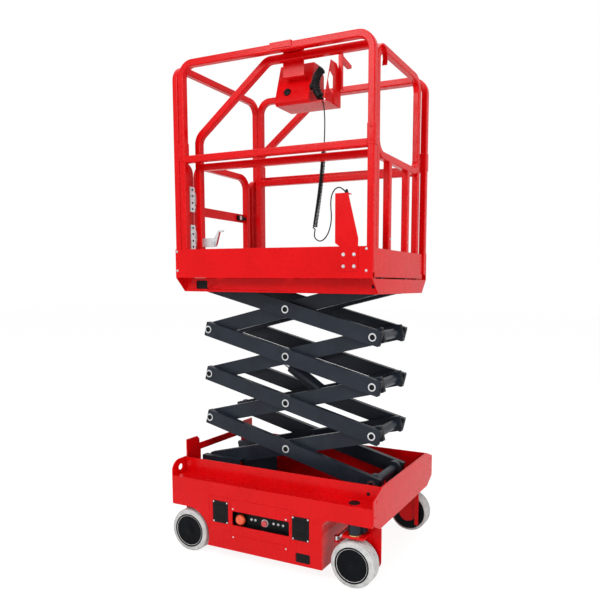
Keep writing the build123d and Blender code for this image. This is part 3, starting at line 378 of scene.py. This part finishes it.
for i in range(1, STAGES + 1):
    z_low = first_low.z + PIN_RADIUS + (i - 1) * stage_rise
    z_high = z_low + stage_rise
    front = (x_front, z_low)
    middle = ((x_front + x_rear) / 2, (z_low + z_high) / 2)
    rear = (x_rear, z_high)
    bm = bmesh.new()
    for side in (-1, 1):
        for x, z in (front, middle, rear):
            add_lathe(bm, cap_profile, (x, first_high.y * side, z), (0, side, 0))
    to_object(bm, f"pin_caps_{i}", black, f"outer_{i}")
    # The middle pins and the top stage's rear pins are stubs, with no sleeve between them
    through = [front] if i == STAGES else [front, rear]
    bm = bmesh.new()
    for x, z in through:
        add_lathe(bm, sleeve_profile, (x, 0, z), FAR, segments=36)
    to_object(bm, f"cross_sleeves_{i}", dark, f"outer_{i}")
    arms = (("outer", OUTER_ARM_Y, z_low, -slope), ("inner", INNER_ARM_Y, z_high, slope))
    for kind, arm_y, z, tilt in arms:
        way = Vector((math.cos(tilt), 0, math.sin(tilt)))
        end = Vector((x_front, 0, z)) + way * FRONT_OVERHANG
        bm = bmesh.new()
        for side in (-1, 1):
            at = end + Vector((0, side * arm_y, 0))
            add_prism(bm, plug_outline, at, FAR, (-way.z, 0, way.x), depth=2.0, bevel=1.2)
        to_object(bm, f"{kind}_end_plugs_{i}", black, f"{kind}_{i}")

# Wheels: grooved tyres, with closed black caps outside, and inside black discs that are painted shade from
# under the machine
WHEEL_SIDES = {"rear_near": -1, "rear_far": 1, "front_near": -1, "front_far": 1}
HUB_SEAT = 77.0
WHEEL_CAP = 90.0
GROOVE_DEPTH = 4.5
GROOVE_MOUTH = 4.2
GROOVE_FLOOR = 2.8
GROOVE_SHARES = (-0.48, 0.0, 0.48)
CAP_SCREWS = 6
SCREW_CIRCLE = 60.0
SCREW_SINK = 2.6
CENTRE_SINK = 1.2
cap_dish = [
    (0, -8), (WHEEL_CAP, -8), (WHEEL_CAP, 0.6), (88.6, 1.5), (84, 1.5), (81, -1.2), (40, -3.4), (22, -3.0),
    (19, -1.4), (6, -1.2), (0, -1.2),
]
# Black disc over each wheel's inner face: painted shade where the wheel lies in the machine's shadow
painted_shade_disc = [(34, -8), (100, -8), (100, 0.3), (96, 0.8), (60, -2), (34, -2), (34, -8)]
for wheel, side in WHEEL_SIDES.items():
    low, high = span(f"tyre_{wheel}")
    centre = (low + high) / 2
    radius = (high.z - low.z) / 2
    half = (high.y - low.y) / 2
    wall = [
        (HUB_SEAT, 6), (HUB_SEAT + 2, 1.5), (HUB_SEAT + 5, 0.4), (radius - 22, 0), (radius - 18, 1.6),
        (radius - 10, 2.4), (radius - 3, 6), (radius, 12),
    ]
    profile = [(reach, -half + inset) for reach, inset in wall]
    for share in GROOVE_SHARES:
        y = share * half
        profile += [
            (radius, y - GROOVE_MOUTH), (radius - GROOVE_DEPTH, y - GROOVE_FLOOR),
            (radius - GROOVE_DEPTH, y + GROOVE_FLOOR), (radius, y + GROOVE_MOUTH),
        ]
    profile += [(reach, half - inset) for reach, inset in reversed(wall)]
    profile.append(profile[0])
    bm = bmesh.new()
    add_lathe(bm, profile, centre, FAR, segments=96)
    bmesh.ops.remove_doubles(bm, verts=bm.verts, dist=0.01)
    tyre = to_object(bm, f"grooved_tyre_{wheel}", tyre_skin, f"wheel_{wheel}", smooth_angle=28.0)
    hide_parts(f"tyre_{wheel}")
    outward = (0, side, 0)
    face_y = centre.y + side * half
    bm = bmesh.new()
    add_lathe(bm, cap_dish, (centre.x, face_y, centre.z), outward, segments=72)
    to_object(bm, f"wheel_cap_{wheel}", hub_black, f"wheel_{wheel}")
    bm = bmesh.new()
    add_dome(bm, (centre.x, face_y - side * CENTRE_SINK, centre.z), outward, radius=4.0, height=1.8)
    for k in range(CAP_SCREWS):
        a = math.radians(360 / CAP_SCREWS * k)
        x = centre.x + SCREW_CIRCLE * math.cos(a)
        z = centre.z + SCREW_CIRCLE * math.sin(a)
        add_dome(bm, (x, face_y - side * SCREW_SINK, z), outward, radius=3.2, height=1.4)
    to_object(bm, f"cap_screws_{wheel}", black, f"wheel_{wheel}")
    # Painted shade: a black disc over the wheel's inner face
    bm = bmesh.new()
    add_lathe(bm, painted_shade_disc, (centre.x, centre.y - side * half, centre.z), (0, -side, 0), segments=72)
    to_object(bm, f"wheel_painted_shade_{wheel}", hub_black, f"wheel_{wheel}")

# Thrust washers under the king pins
WASHER_DROP = 6
beam_low, beam_high = span("front_beam")
tyre_low, tyre_high = span("tyre_front_far")
king_x = (beam_low.x + beam_high.x) / 2
king_y = (tyre_low.y + tyre_high.y) / 2
washer = [(16, 0.3), (33, 0.3), (34, 1.2), (34, 4.6), (33, 5.5), (16, 5.5), (16, 0.3)]
bm = bmesh.new()
for side in (-1, 1):
    add_lathe(bm, washer, (king_x, side * king_y, beam_low.z - WASHER_DROP), UP, segments=40)
to_object(bm, "king_washers", brass, "chassis")

# Guard plates inside the steered wheels, wide and curved on the near side and narrow on the far side
GUARD_Y = 331.0
GUARD_REACH = 114.0
GUARD_TOP = 284.0
GUARD_REAR = -62
GUARD_REAR_FOOT = 150
GUARD_RISE = 50
GUARD_SQUASH = 0.55
ARC_DEGREES = 150
ARC_STEPS = 12
guard_z = span("knuckle_near")[0].z + GUARD_RISE
near_guard = [(GUARD_REAR, GUARD_TOP), (GUARD_REAR, GUARD_REAR_FOOT)]
for k in range(ARC_STEPS + 1):
    a = math.radians(-ARC_DEGREES + ARC_DEGREES * k / ARC_STEPS)
    near_guard.append((GUARD_REACH * math.cos(a), guard_z + GUARD_REACH * GUARD_SQUASH * math.sin(a)))
near_guard.append((GUARD_REACH, GUARD_TOP))
far_guard = [(42, GUARD_TOP), (48, 54), (54, 48), (64, 48), (70, 54), (72, GUARD_TOP)]
for side, which, outline in ((-1, "near", near_guard), (1, "far", far_guard)):
    bm = bmesh.new()
    add_prism(bm, outline, (king_x, side * GUARD_Y, 0), FRONT, UP, depth=5.0, bevel=0.8)
    to_object(bm, f"wheel_guard_{which}", red, f"knuckle_{which}")

# Ground controls on the near side: two plates with screws, the stop button, and the panel's key and lamps
POD_FACE = -432.0
PANEL_FACE = -399.0
STOP_FACE = -425
STOP_X = -158.0
KEY_X = -18.0
CONTROLS_Z = 227.0
LAMPS_X = (-100, -76, 34, 62, 90)
LAMPS_Z = 233
PLATE_THICK = 2.2
SCREW_INSET = 6
SCREW_RADIUS = 4.4
LAMP_RADIUS = 4.4
PLATES = ((-272, 256.5, 96, 117), (210, 248.5, 96, 119))
POD_SCREWS = ((-193.5, 284), (126, 282), (-193.5, 133), (125.5, 130))
mushroom = [(0, -16), (26, -16), (28, -13), (28, -7), (25, -1), (18, 4), (9, 6.5), (0, 7)]
key_ring = [(16.2, 0), (21, 0), (21, 3), (19.5, 4.2), (16.2, 4.2)]
lamp_ring = [(4.2, 0), (7, 0), (7, 2), (6, 3), (4.2, 3)]
plate_face = POD_FACE - PLATE_THICK
bm = bmesh.new()
places = []
for x, z, wide, tall in PLATES:
    add_prism(bm, rounded(wide, tall, 4), (x, POD_FACE, z), FRONT, UP, depth=PLATE_THICK)
    window = rounded(wide * 0.62, tall * 0.34, 3)
    add_prism(bm, window, (x, plate_face, z + tall * 0.16), FRONT, UP, depth=1.4)
    for drop in (0.2, 0.32):
        add_prism(bm, rounded(wide * 0.5, 7, 3), (x, plate_face, z - tall * drop), FRONT, UP, depth=1.6)
    for along_x in (-1, 1):
        for along_z in (-1, 1):
            screw_x = x + along_x * (wide / 2 - SCREW_INSET)
            screw_z = z + along_z * (tall / 2 - SCREW_INSET)
            places.append(((screw_x, plate_face, screw_z), NEAR))
to_object(bm, "control_plates", black, "chassis")
places += [((x, POD_FACE, z), NEAR) for x, z in POD_SCREWS]
domes("plate_screws", "chassis", places, SCREW_RADIUS, white)
bm = bmesh.new()
add_lathe(bm, mushroom, (STOP_X, STOP_FACE, CONTROLS_Z), NEAR, segments=48)
to_object(bm, "stop_cap", orange, "chassis")
bm = bmesh.new()
add_lathe(bm, key_ring, (KEY_X, PANEL_FACE, CONTROLS_Z), NEAR, segments=40)
lamp_places = [((x, PANEL_FACE, LAMPS_Z), NEAR) for x in LAMPS_X]
for at, normal in lamp_places:
    add_lathe(bm, lamp_ring, at, normal, segments=24)
to_object(bm, "panel_bezels", steel, "chassis")
domes("panel_lamps", "chassis", lamp_places, LAMP_RADIUS, white)

# Fold lines of the access cover, as thin raised beads
LEVEL_BEADS = ((-330, 175, 335), (-190, 130, 146))
UPRIGHT_BEADS = ((-346, 62, 335), (183, 62, 335), (-208, 150, 330), (152, 150, 330))
bm = bmesh.new()
for x0, x1, z in LEVEL_BEADS:
    at = ((x0 + x1) / 2, POD_FACE, z)
    add_prism(bm, rounded(x1 - x0, 3.2, 1.5), at, FRONT, UP, depth=1.6, bevel=0.5)
for x, z0, z1 in UPRIGHT_BEADS:
    at = (x, POD_FACE, (z0 + z1) / 2)
    add_prism(bm, rounded(2.4, z1 - z0, 1.1), at, FRONT, UP, depth=1.0, bevel=0.4)
to_object(bm, "cover_beads", red, "chassis")

# Plugs and rivets of the chassis, and a black disc of painted shade in each side hole
LEDGE_X, LEDGE_Y, LEDGE_Z = 480, 386, 409.0
TUB_SIDE = 332
SIDE_HOLE_X, SIDE_HOLE_Z = 528, 444
SIDE_RIVETS_X = (-464, -82, 250)
SIDE_RIVETS_Z = (450, 463)
END_FACE = 600
END_RIVETS = ((396, 436), (411, 366))
ledge_plug = [(0, 0), (27, 0), (27, 2.5), (24, 5), (10, 6), (0, 6)]
# Flat black disc in the tub side's hole: painted shade
hole_shade_disc = [(0, 0), (9, 0), (9, 1), (7.5, 1.6), (0, 1.6)]
bm = bmesh.new()
places = []
for side in (-1, 1):
    outward = (0, side, 0)
    add_lathe(bm, ledge_plug, (LEDGE_X, side * LEDGE_Y, LEDGE_Z), UP, segments=40)
    add_lathe(bm, hole_shade_disc, (SIDE_HOLE_X, side * TUB_SIDE, SIDE_HOLE_Z), outward, segments=28)
    places += [((END_FACE, side * y, z), FRONT) for y, z in END_RIVETS]
    places += [((x, side * TUB_SIDE, z), outward) for x in SIDE_RIVETS_X for z in SIDE_RIVETS_Z]
to_object(bm, "chassis_plugs_and_hole_shade", black, "chassis")
domes("chassis_rivets", "chassis", places, 5.0, red)

# Bolts on sheets and rails
TOE_FACE = 378
BRACKET_FACE = -382
BAR_FACE = 540
toe_places = [(x, TOE_FACE, z) for x in (527, -566) for z in (1608.8, 1509.8)]
bracket_places = [((x, BRACKET_FACE, z), NEAR) for x in (412, 466.5) for z in (1529, 1583)]
bar_places = [((BAR_FACE, y, 1668), FRONT) for y in (-125, 125)]
bolts("toe_bolts", "platform", both_sides(toe_places), size=6.0)
bolts("bracket_bolts", "platform", bracket_places, size=8.0)
bolts("front_bar_bolts", "extension", bar_places, size=6.0)

# Black sheets behind the beam's pockets: painted shade inside the pocket holes
POCKET_X, POCKET_Y, POCKET_Z = -463.0, 306, 1437.0
bm = bmesh.new()
for side in (-1, 1):
    at = (POCKET_X, side * POCKET_Y, POCKET_Z)
    add_prism(bm, rounded(84, 56, 6), at, (-side, 0, 0), UP, depth=-3.0, bevel=0.5)
to_object(bm, "pocket_painted_shade", black, "platform")

# Joint sleeves round the posts, with through bolts
SLEEVE_WIDE = 40.5
SLEEVE_TALL = 92
SLEEVE_LOW = 2071.0
SLEEVE_BOLTS = (17, 75)
POST_HALF = 17.5
rails_low, rails_high = span("side_rails")
sleeve_outline = rounded(SLEEVE_WIDE, SLEEVE_WIDE, 7)
bm = bmesh.new()
places = []
for x in (rails_low.x + POST_HALF, rails_high.x - POST_HALF):
    for side in (-1, 1):
        y = side * (rails_high.y - POST_HALF)
        add_prism(bm, sleeve_outline, (x, y, SLEEVE_LOW), FRONT, FAR, depth=SLEEVE_TALL, bevel=0.8)
        for lift in SLEEVE_BOLTS:
            places.append(((x, y + side * SLEEVE_WIDE / 2, SLEEVE_LOW + lift), (0, side, 0)))
to_object(bm, "post_sleeves", red, "platform")
bolts("sleeve_bolts", "platform", places, 6.0, red)

# Gate: closing springs round the hinge knuckles, the hinges' leaves, and the catch at the free end
HINGES_Z = {"low": 1690.0, "high": 1890.0}
HINGE_Y = -239.0
SPRING_RADIUS = 15.0
SPRING_TALL = 58
SPRING_TURNS = 11
TURN_STEPS = 18
WIRE_RADIUS = 2.4
WIRE_SIDES = 6
LEAF_Y = -279.0
LEAF_THICK = 4
LEAF_SCREWS = (-50, -18, 18, 50)
CATCH_Z = 1836
CATCH_DEPTH = 15
CATCH_OUT = 3
hinge_low, hinge_high = span("gate_hinges")
hinge_x = (hinge_low.x + hinge_high.x) / 2
leaf_x = hinge_x + POST_HALF
catch_x = hinge_x + CATCH_OUT
spring_steps = SPRING_TURNS * TURN_STEPS
for place, z in HINGES_Z.items():
    bm = bmesh.new()
    rings = []
    for k in range(spring_steps + 1):
        a = 2 * math.pi * k / TURN_STEPS
        height = z - SPRING_TALL / 2 + SPRING_TALL * k / spring_steps
        out = Vector((math.cos(a), math.sin(a), 0))
        ring = []
        for j in range(WIRE_SIDES):
            b = 2 * math.pi * j / WIRE_SIDES
            spot = Vector((hinge_x, HINGE_Y, height)) + out * (SPRING_RADIUS + WIRE_RADIUS * math.cos(b))
            ring.append(bm.verts.new(spot + Vector((0, 0, WIRE_RADIUS * math.sin(b)))))
        rings.append(ring)
    join_rings(bm, rings)
    to_object(bm, f"gate_spring_{place}", steel, "gate", smooth_angle=60.0)
bm = bmesh.new()
places = []
for z in HINGES_Z.values():
    add_prism(bm, rounded(36, 132, 4), (leaf_x, LEAF_Y, z), FAR, UP, depth=LEAF_THICK)
    places += [((leaf_x + LEAF_THICK, LEAF_Y, z + lift), FRONT) for lift in LEAF_SCREWS]
to_object(bm, "hinge_leaves", steel, "platform")
domes("leaf_screws", "platform", places, 6.0, black)
bm = bmesh.new()
add_prism(bm, rounded(54, 30, 5), (catch_x, 166, CATCH_Z), FAR, UP, depth=CATCH_DEPTH, bevel=2.0)
add_prism(bm, rounded(30, 16, 5), (catch_x, 214, CATCH_Z), FAR, UP, depth=10, bevel=2.0)
to_object(bm, "gate_catch", black, "gate")
bm = bmesh.new()
add_prism(bm, rounded(16, 24, 4), (catch_x + CATCH_DEPTH, 158, CATCH_Z), FAR, UP, depth=4, bevel=1.0)
to_object(bm, "gate_catch_slide", white, "gate")

# The control box's knob, spare hook and grip guard, and the keeper on the front rail
BOX_OUT = 250.0
BOX_LOW = 2326.0
BOX_LEAN = 62.0
BOX_TALL = 204.0
BOX_LIP = 14
KNOB_X, KNOB_Z = 26.0, 2388.0
HOOK_X = 246
BAND_X = 245
KEEPER_X = 541.5
knob = [(0, -2), (19, -2), (19, 3), (17, 6), (12, 7), (11, 5), (0, 5)]
hook = [
    (-112, 2404), (-97, 2404), (-97, 2546), (-12, 2536), (0, 2544), (0, 2556), (-92, 2572), (-100, 2586),
    (-112, 2586),
]
band = [
    (-205, 2474), (-171, 2457), (-170, 2358), (-160, 2328), (-88, 2328), (-88, 2428), (-140, 2494),
    (-171, 2523), (-192, 2516),
]
keeper = [(-262, 2528), (-240, 2524), (-222, 2508), (-218, 2480), (-224, 2452)]
lean = Vector((0, -1, BOX_LEAN / (BOX_TALL - BOX_LIP))).normalized()
knob_y = -BOX_OUT + BOX_LEAN * (KNOB_Z - BOX_LOW - BOX_LIP) / (BOX_TALL - BOX_LIP)
bm = bmesh.new()
add_lathe(bm, knob, (KNOB_X, knob_y, KNOB_Z), lean, segments=36)
to_object(bm, "box_knob", black, "platform")
bm = bmesh.new()
add_prism(bm, hook, (HOOK_X, 0, 0), FAR, UP, depth=20, bevel=0.8)
to_object(bm, "spare_hook", red, "platform", smooth_angle=20.0)
bm = bmesh.new()
add_prism(bm, band, (BAND_X, 0, 0), FAR, UP, depth=3)
to_object(bm, "grip_guard", red, "platform", smooth_angle=20.0)
bm = bmesh.new()
add_strip(bm, [(KEEPER_X, y, z) for y, z in keeper], FRONT, width=24, thick=4)
to_object(bm, "rail_keeper", red, "extension", smooth_angle=20.0)

# The control box's cord: a plain lead, a curly length and a loop to the bracket
LEAD = [(202, -220, 2352), (219, -220, 2331), (226, -216, 2262), (222, -210, 2180), (214, -203, 2099)]
CURL = [(214, -203, 2099), (203, -203, 1978), (186, -206, 1846), (173, -222, 1720)]
LOOP = [(173, -222, 1720), (181, -240, 1674), (222, -260, 1651), (268, -283, 1667), (302, -302, 1711),
        (318, -318, 1764), (319, -332, 1814), (329, -345, 1859), (356, -356, 1890), (392, -362, 1893),
        (418, -363, 1862)]
CORD_RADIUS = 3.0
CORD_RESOLUTION = 3
COIL_RADIUS = 9.2
COIL_PITCH = 7.0
COIL_OPENING = 26.0
COIL_TURNS_FROM = 0.8  # share of the opening after which the helix starts to turn


def nurbs(name, points, radius, resolution):
    """A smooth round line with the points, in millimetres, as its control points."""
    curve = bpy.data.curves.new(name, "CURVE")
    curve.dimensions = "3D"
    spline = curve.splines.new("NURBS")
    spline.points.add(len(points) - 1)
    for point, p in zip(spline.points, points):
        point.co = (p[0] * MM, p[1] * MM, p[2] * MM, 1)
    spline.order_u = 3
    spline.use_endpoint_u = True
    spline.resolution_u = resolution
    curve.bevel_depth = radius * MM
    curve.bevel_resolution = 2
    curve.use_fill_caps = radius > 0
    obj = bpy.data.objects.new(name, curve)
    bpy.context.scene.collection.objects.link(obj)
    return obj


def spline_points(points, resolution):
    """Points along the NURBS line of a route, in millimetres."""
    plain = nurbs("route", points, 0.0, resolution)
    mesh = bpy.data.meshes.new_from_object(plain)
    line = [v.co / MM for v in mesh.vertices]
    bpy.data.objects.remove(plain)
    bpy.data.meshes.remove(mesh)
    return line


def along(line, distance):
    """Point and direction at a distance along a line of points."""
    gone = 0.0
    for a, b in zip(line, line[1:]):
        step = (b - a).length
        if gone + step >= distance:
            return a + (b - a) * ((distance - gone) / step), (b - a).normalized()
        gone += step
    return line[-1], (line[-1] - line[-2]).normalized()


def line_length(line):
    return sum((b - a).length for a, b in zip(line, line[1:]))


def distance_to(line, spot):
    """Distance along a line to the place nearest a spot."""
    nearest = min(range(len(line)), key=lambda k: (line[k] - spot).length)
    return line_length(line[:nearest + 1])


def ease(share):
    share = min(max(share, 0.0), 1.0)
    return share * share * (3 - 2 * share)


def curly(line, start, end, steps=14):
    """Helix round a stretch of a line, which leaves the line and starts to turn slowly at each end."""
    total = end - start
    count = int(total / COIL_PITCH * steps)
    angle = 0.0
    helix = []
    for k in range(count + 1):
        gone = total * k / count
        here, way = along(line, start + gone)
        across = (Vector(FAR) - way * way.y).normalized()
        other = way.cross(across)
        opened = min(gone, total - gone) / COIL_OPENING
        arm = COIL_RADIUS * ease(opened)
        helix.append(tuple(here + (across * math.cos(angle) + other * math.sin(angle)) * arm))
        angle += 2 * math.pi / steps * ease((opened - COIL_TURNS_FROM) / COIL_TURNS_FROM)
    return helix


route = spline_points(LEAD + CURL[1:] + LOOP[1:], resolution=48)
curl_start = distance_to(route, (Vector(LEAD[-2]) + Vector(LEAD[-1])) / 2)
curl_end = distance_to(route, (Vector(LOOP[0]) + Vector(LOOP[1])) / 2)
whole = LEAD[:-1] + curly(route, curl_start, curl_end) + LOOP[1:]
cord = nurbs("control_cord", whole, CORD_RADIUS, CORD_RESOLUTION)
cord.data.materials.append(rubber)
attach(cord, "platform")
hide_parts("cord_lead", "cord_curl", "cord_loop")
cord_length = line_length(spline_points(whole, CORD_RESOLUTION)) * MM

# Gland on the bracket and boot under the handle
gland = [(0, 0), (9, 0), (9, 6), (7, 8), (6, 16), (4.4, 18), (0, 18)]
boot = [(0, -3), (12, -3), (11, 4), (7, 14), (4.6, 24), (0, 24)]
bm = bmesh.new()
add_lathe(bm, gland, LOOP[-1], UP, segments=24)
add_lathe(bm, boot, LEAD[0], Vector(LEAD[1]) - Vector(LEAD[0]), segments=24)
to_object(bm, "cord_glands", black, "platform")

# Finger ribs and top cap of the joystick, along the arc of its grip
GRIP = [Vector((204, -212, 2478)), Vector((179, -222, 2404)), Vector((202, -220, 2352))]
GRIP_RADIUS = 19.0
GRIP_STATIONS = 10
RIB_STATIONS = slice(3, 8)
rib = [
    (GRIP_RADIUS - 1, -5), (GRIP_RADIUS + 0.6, -3), (GRIP_RADIUS + 2, 0), (GRIP_RADIUS + 0.6, 3),
    (GRIP_RADIUS - 1, 5),
]
top_cap = [(0, -4), (GRIP_RADIUS + 2, -4), (GRIP_RADIUS + 2.6, 1), (GRIP_RADIUS + 1, 5), (14, 9), (0, 11)]


def arc_through(first, middle, last, count):
    """Points and directions along the arc through three points."""
    u, v = middle - first, last - first
    axis = u.cross(v)
    to_centre = v.length_squared * axis.cross(u) - u.length_squared * axis.cross(v)
    centre = first + to_centre / (2 * axis.length_squared)
    arm = first - centre
    axis = axis.normalized()
    ahead = axis.cross(arm)
    sweep = math.atan2((last - centre).dot(ahead), (last - centre).dot(arm)) % (2 * math.pi)
    for k in range(count):
        a = sweep * k / (count - 1)
        yield centre + arm * math.cos(a) + ahead * math.sin(a), ahead * math.cos(a) - arm * math.sin(a)


bm = bmesh.new()
stations = list(arc_through(*GRIP, GRIP_STATIONS))
cap_spot, cap_way = stations[0]
add_lathe(bm, top_cap, cap_spot, -cap_way, segments=36)
for spot, way in stations[RIB_STATIONS]:
    add_lathe(bm, rib, spot, way, segments=36)
to_object(bm, "grip_trim", black, "platform")


# Floor, light and camera

def seen_directly(tree):
    """1 for what the camera sees straight, in a mirror or through glass, and 0 for light on things."""
    path = tree.nodes.new("ShaderNodeLightPath")
    total = path.outputs["Is Camera Ray"]
    for kind in ("Is Glossy Ray", "Is Transmission Ray"):
        larger = tree.nodes.new("ShaderNodeMath")
        larger.operation = "MAXIMUM"
        tree.links.new(total, larger.inputs[0])
        tree.links.new(path.outputs[kind], larger.inputs[1])
        total = larger.outputs[0]
    return total


def studio_floor():
    """Pale floor that looks nearly white to the camera and keeps a soft shadow."""
    mesh = bpy.data.meshes.new("studio_floor")
    reach = 30.0
    glow_share = 0.74
    mesh.from_pydata([(-reach, -reach, 0), (reach, -reach, 0), (reach, reach, 0), (-reach, reach, 0)], [],
                     [(0, 1, 2, 3)])
    floor = bpy.data.objects.new("studio_floor", mesh)
    bpy.context.scene.collection.objects.link(floor)
    mat, tree, shader, coords = new_material("pale_floor")
    tones = [(0.3, (0.86, 0.86, 0.86)), (0.7, (0.90, 0.90, 0.90))]
    tree.links.new(ramp(tree, noise(tree, coords, 3.0), tones), shader.inputs["Base Color"])
    shader.inputs["Roughness"].default_value = 0.9
    shader.inputs["Specular IOR Level"].default_value = 0.1
    glow = tree.nodes.new("ShaderNodeEmission")
    glow.inputs["Color"].default_value = (1, 1, 1, 1)
    glow.inputs["Strength"].default_value = 1.2
    share = tree.nodes.new("ShaderNodeMath")
    share.operation = "MULTIPLY"
    share.inputs[1].default_value = glow_share
    tree.links.new(seen_directly(tree), share.inputs[0])
    mix = tree.nodes.new("ShaderNodeMixShader")
    tree.links.new(share.outputs[0], mix.inputs["Fac"])
    tree.links.new(shader.outputs["BSDF"], mix.inputs[1])
    tree.links.new(glow.outputs["Emission"], mix.inputs[2])
    tree.links.new(mix.outputs["Shader"], tree.nodes["Material Output"].inputs["Surface"])
    mesh.materials.append(mat)


def studio_world():
    """White where it is seen; as light, a dome that is bright above and dim at eye level."""
    world = bpy.data.worlds.new("studio")
    bpy.context.scene.world = world
    world.use_nodes = True
    tree = world.node_tree
    tree.nodes.clear()
    coords = tree.nodes.new("ShaderNodeTexCoord")
    parts = tree.nodes.new("ShaderNodeSeparateXYZ")
    tree.links.new(coords.outputs["Generated"], parts.inputs["Vector"])
    lift = tree.nodes.new("ShaderNodeMapRange")
    lift.inputs["From Min"].default_value = -1.0
    tree.links.new(parts.outputs["Z"], lift.inputs["Value"])
    tones = [(0.45, (0.22,)), (0.58, (0.42,)), (0.74, (0.95,)), (1.0, (1.15,))]
    sky = ramp(tree, lift.outputs["Result"], tones)
    dome = tree.nodes.new("ShaderNodeBackground")
    tree.links.new(sky, dome.inputs["Color"])
    dome.inputs["Strength"].default_value = 0.44
    paper = tree.nodes.new("ShaderNodeBackground")
    paper.inputs["Color"].default_value = (1, 1, 1, 1)
    mix = tree.nodes.new("ShaderNodeMixShader")
    tree.links.new(seen_directly(tree), mix.inputs["Fac"])
    tree.links.new(dome.outputs["Background"], mix.inputs[1])
    tree.links.new(paper.outputs["Background"], mix.inputs[2])
    output = tree.nodes.new("ShaderNodeOutputWorld")
    tree.links.new(mix.outputs["Shader"], output.inputs["Surface"])


def soft_light(name, place, target, size, power):
    """A rectangular lamp, in metres and watts, turned to a target."""
    data = bpy.data.lights.new(name, "AREA")
    data.shape = "RECTANGLE"
    data.size, data.size_y = size
    data.energy = power
    lamp = bpy.data.objects.new(name, data)
    lamp.location = place
    lamp.rotation_euler = (Vector(target) - Vector(place)).to_track_quat("-Z", "Y").to_euler()
    bpy.context.scene.collection.objects.link(lamp)


def photo_camera():
    """The photograph's camera: angles in degrees, its place in millimetres, the rest in pixels."""
    picture = 600.0
    focal = 612.403
    middle = (361.51, 349.951)
    place = Vector((1676.354, -2944.999, 1451.046)) * MM
    yaw, pitch, roll = math.radians(24.501), math.radians(6.199), math.radians(0.487)
    forward = Vector((-math.sin(yaw) * math.cos(pitch), math.cos(yaw) * math.cos(pitch), -math.sin(pitch)))
    level = Vector((math.cos(yaw), math.sin(yaw), 0))
    upright = level.cross(forward)
    right = level * math.cos(roll) + upright * math.sin(roll)
    upward = upright * math.cos(roll) - level * math.sin(roll)
    data = bpy.data.cameras.new("camera")
    data.sensor_width = 36.0
    data.lens = data.sensor_width * focal / picture
    data.shift_x = (picture / 2 - middle[0]) / picture
    data.shift_y = (middle[1] - picture / 2) / picture
    data.clip_end = 200
    camera = bpy.data.objects.new("camera", data)
    pose = Matrix((right, upward, -forward)).transposed().to_4x4()
    pose.translation = place
    camera.matrix_world = pose
    bpy.context.scene.collection.objects.link(camera)
    bpy.context.scene.camera = camera


studio_floor()
studio_world()
soft_light("key", (-1.6, -4.6, 4.4), (0, 0, 1.2), (2.4, 2.4), 145)
soft_light("low", (1.0, -4.6, 1.0), (0, -0.4, 0.3), (1.6, 0.6), 23)
soft_light("fill", (4.8, -1.6, 2.6), (0, 0, 1.2), (2.4, 3.2), 104)
soft_light("top", (0.4, 0.6, 6.0), (0, 0, 1.0), (3.0, 3.0), 112)
photo_camera()
bpy.context.scene.view_settings.view_transform = "Standard"
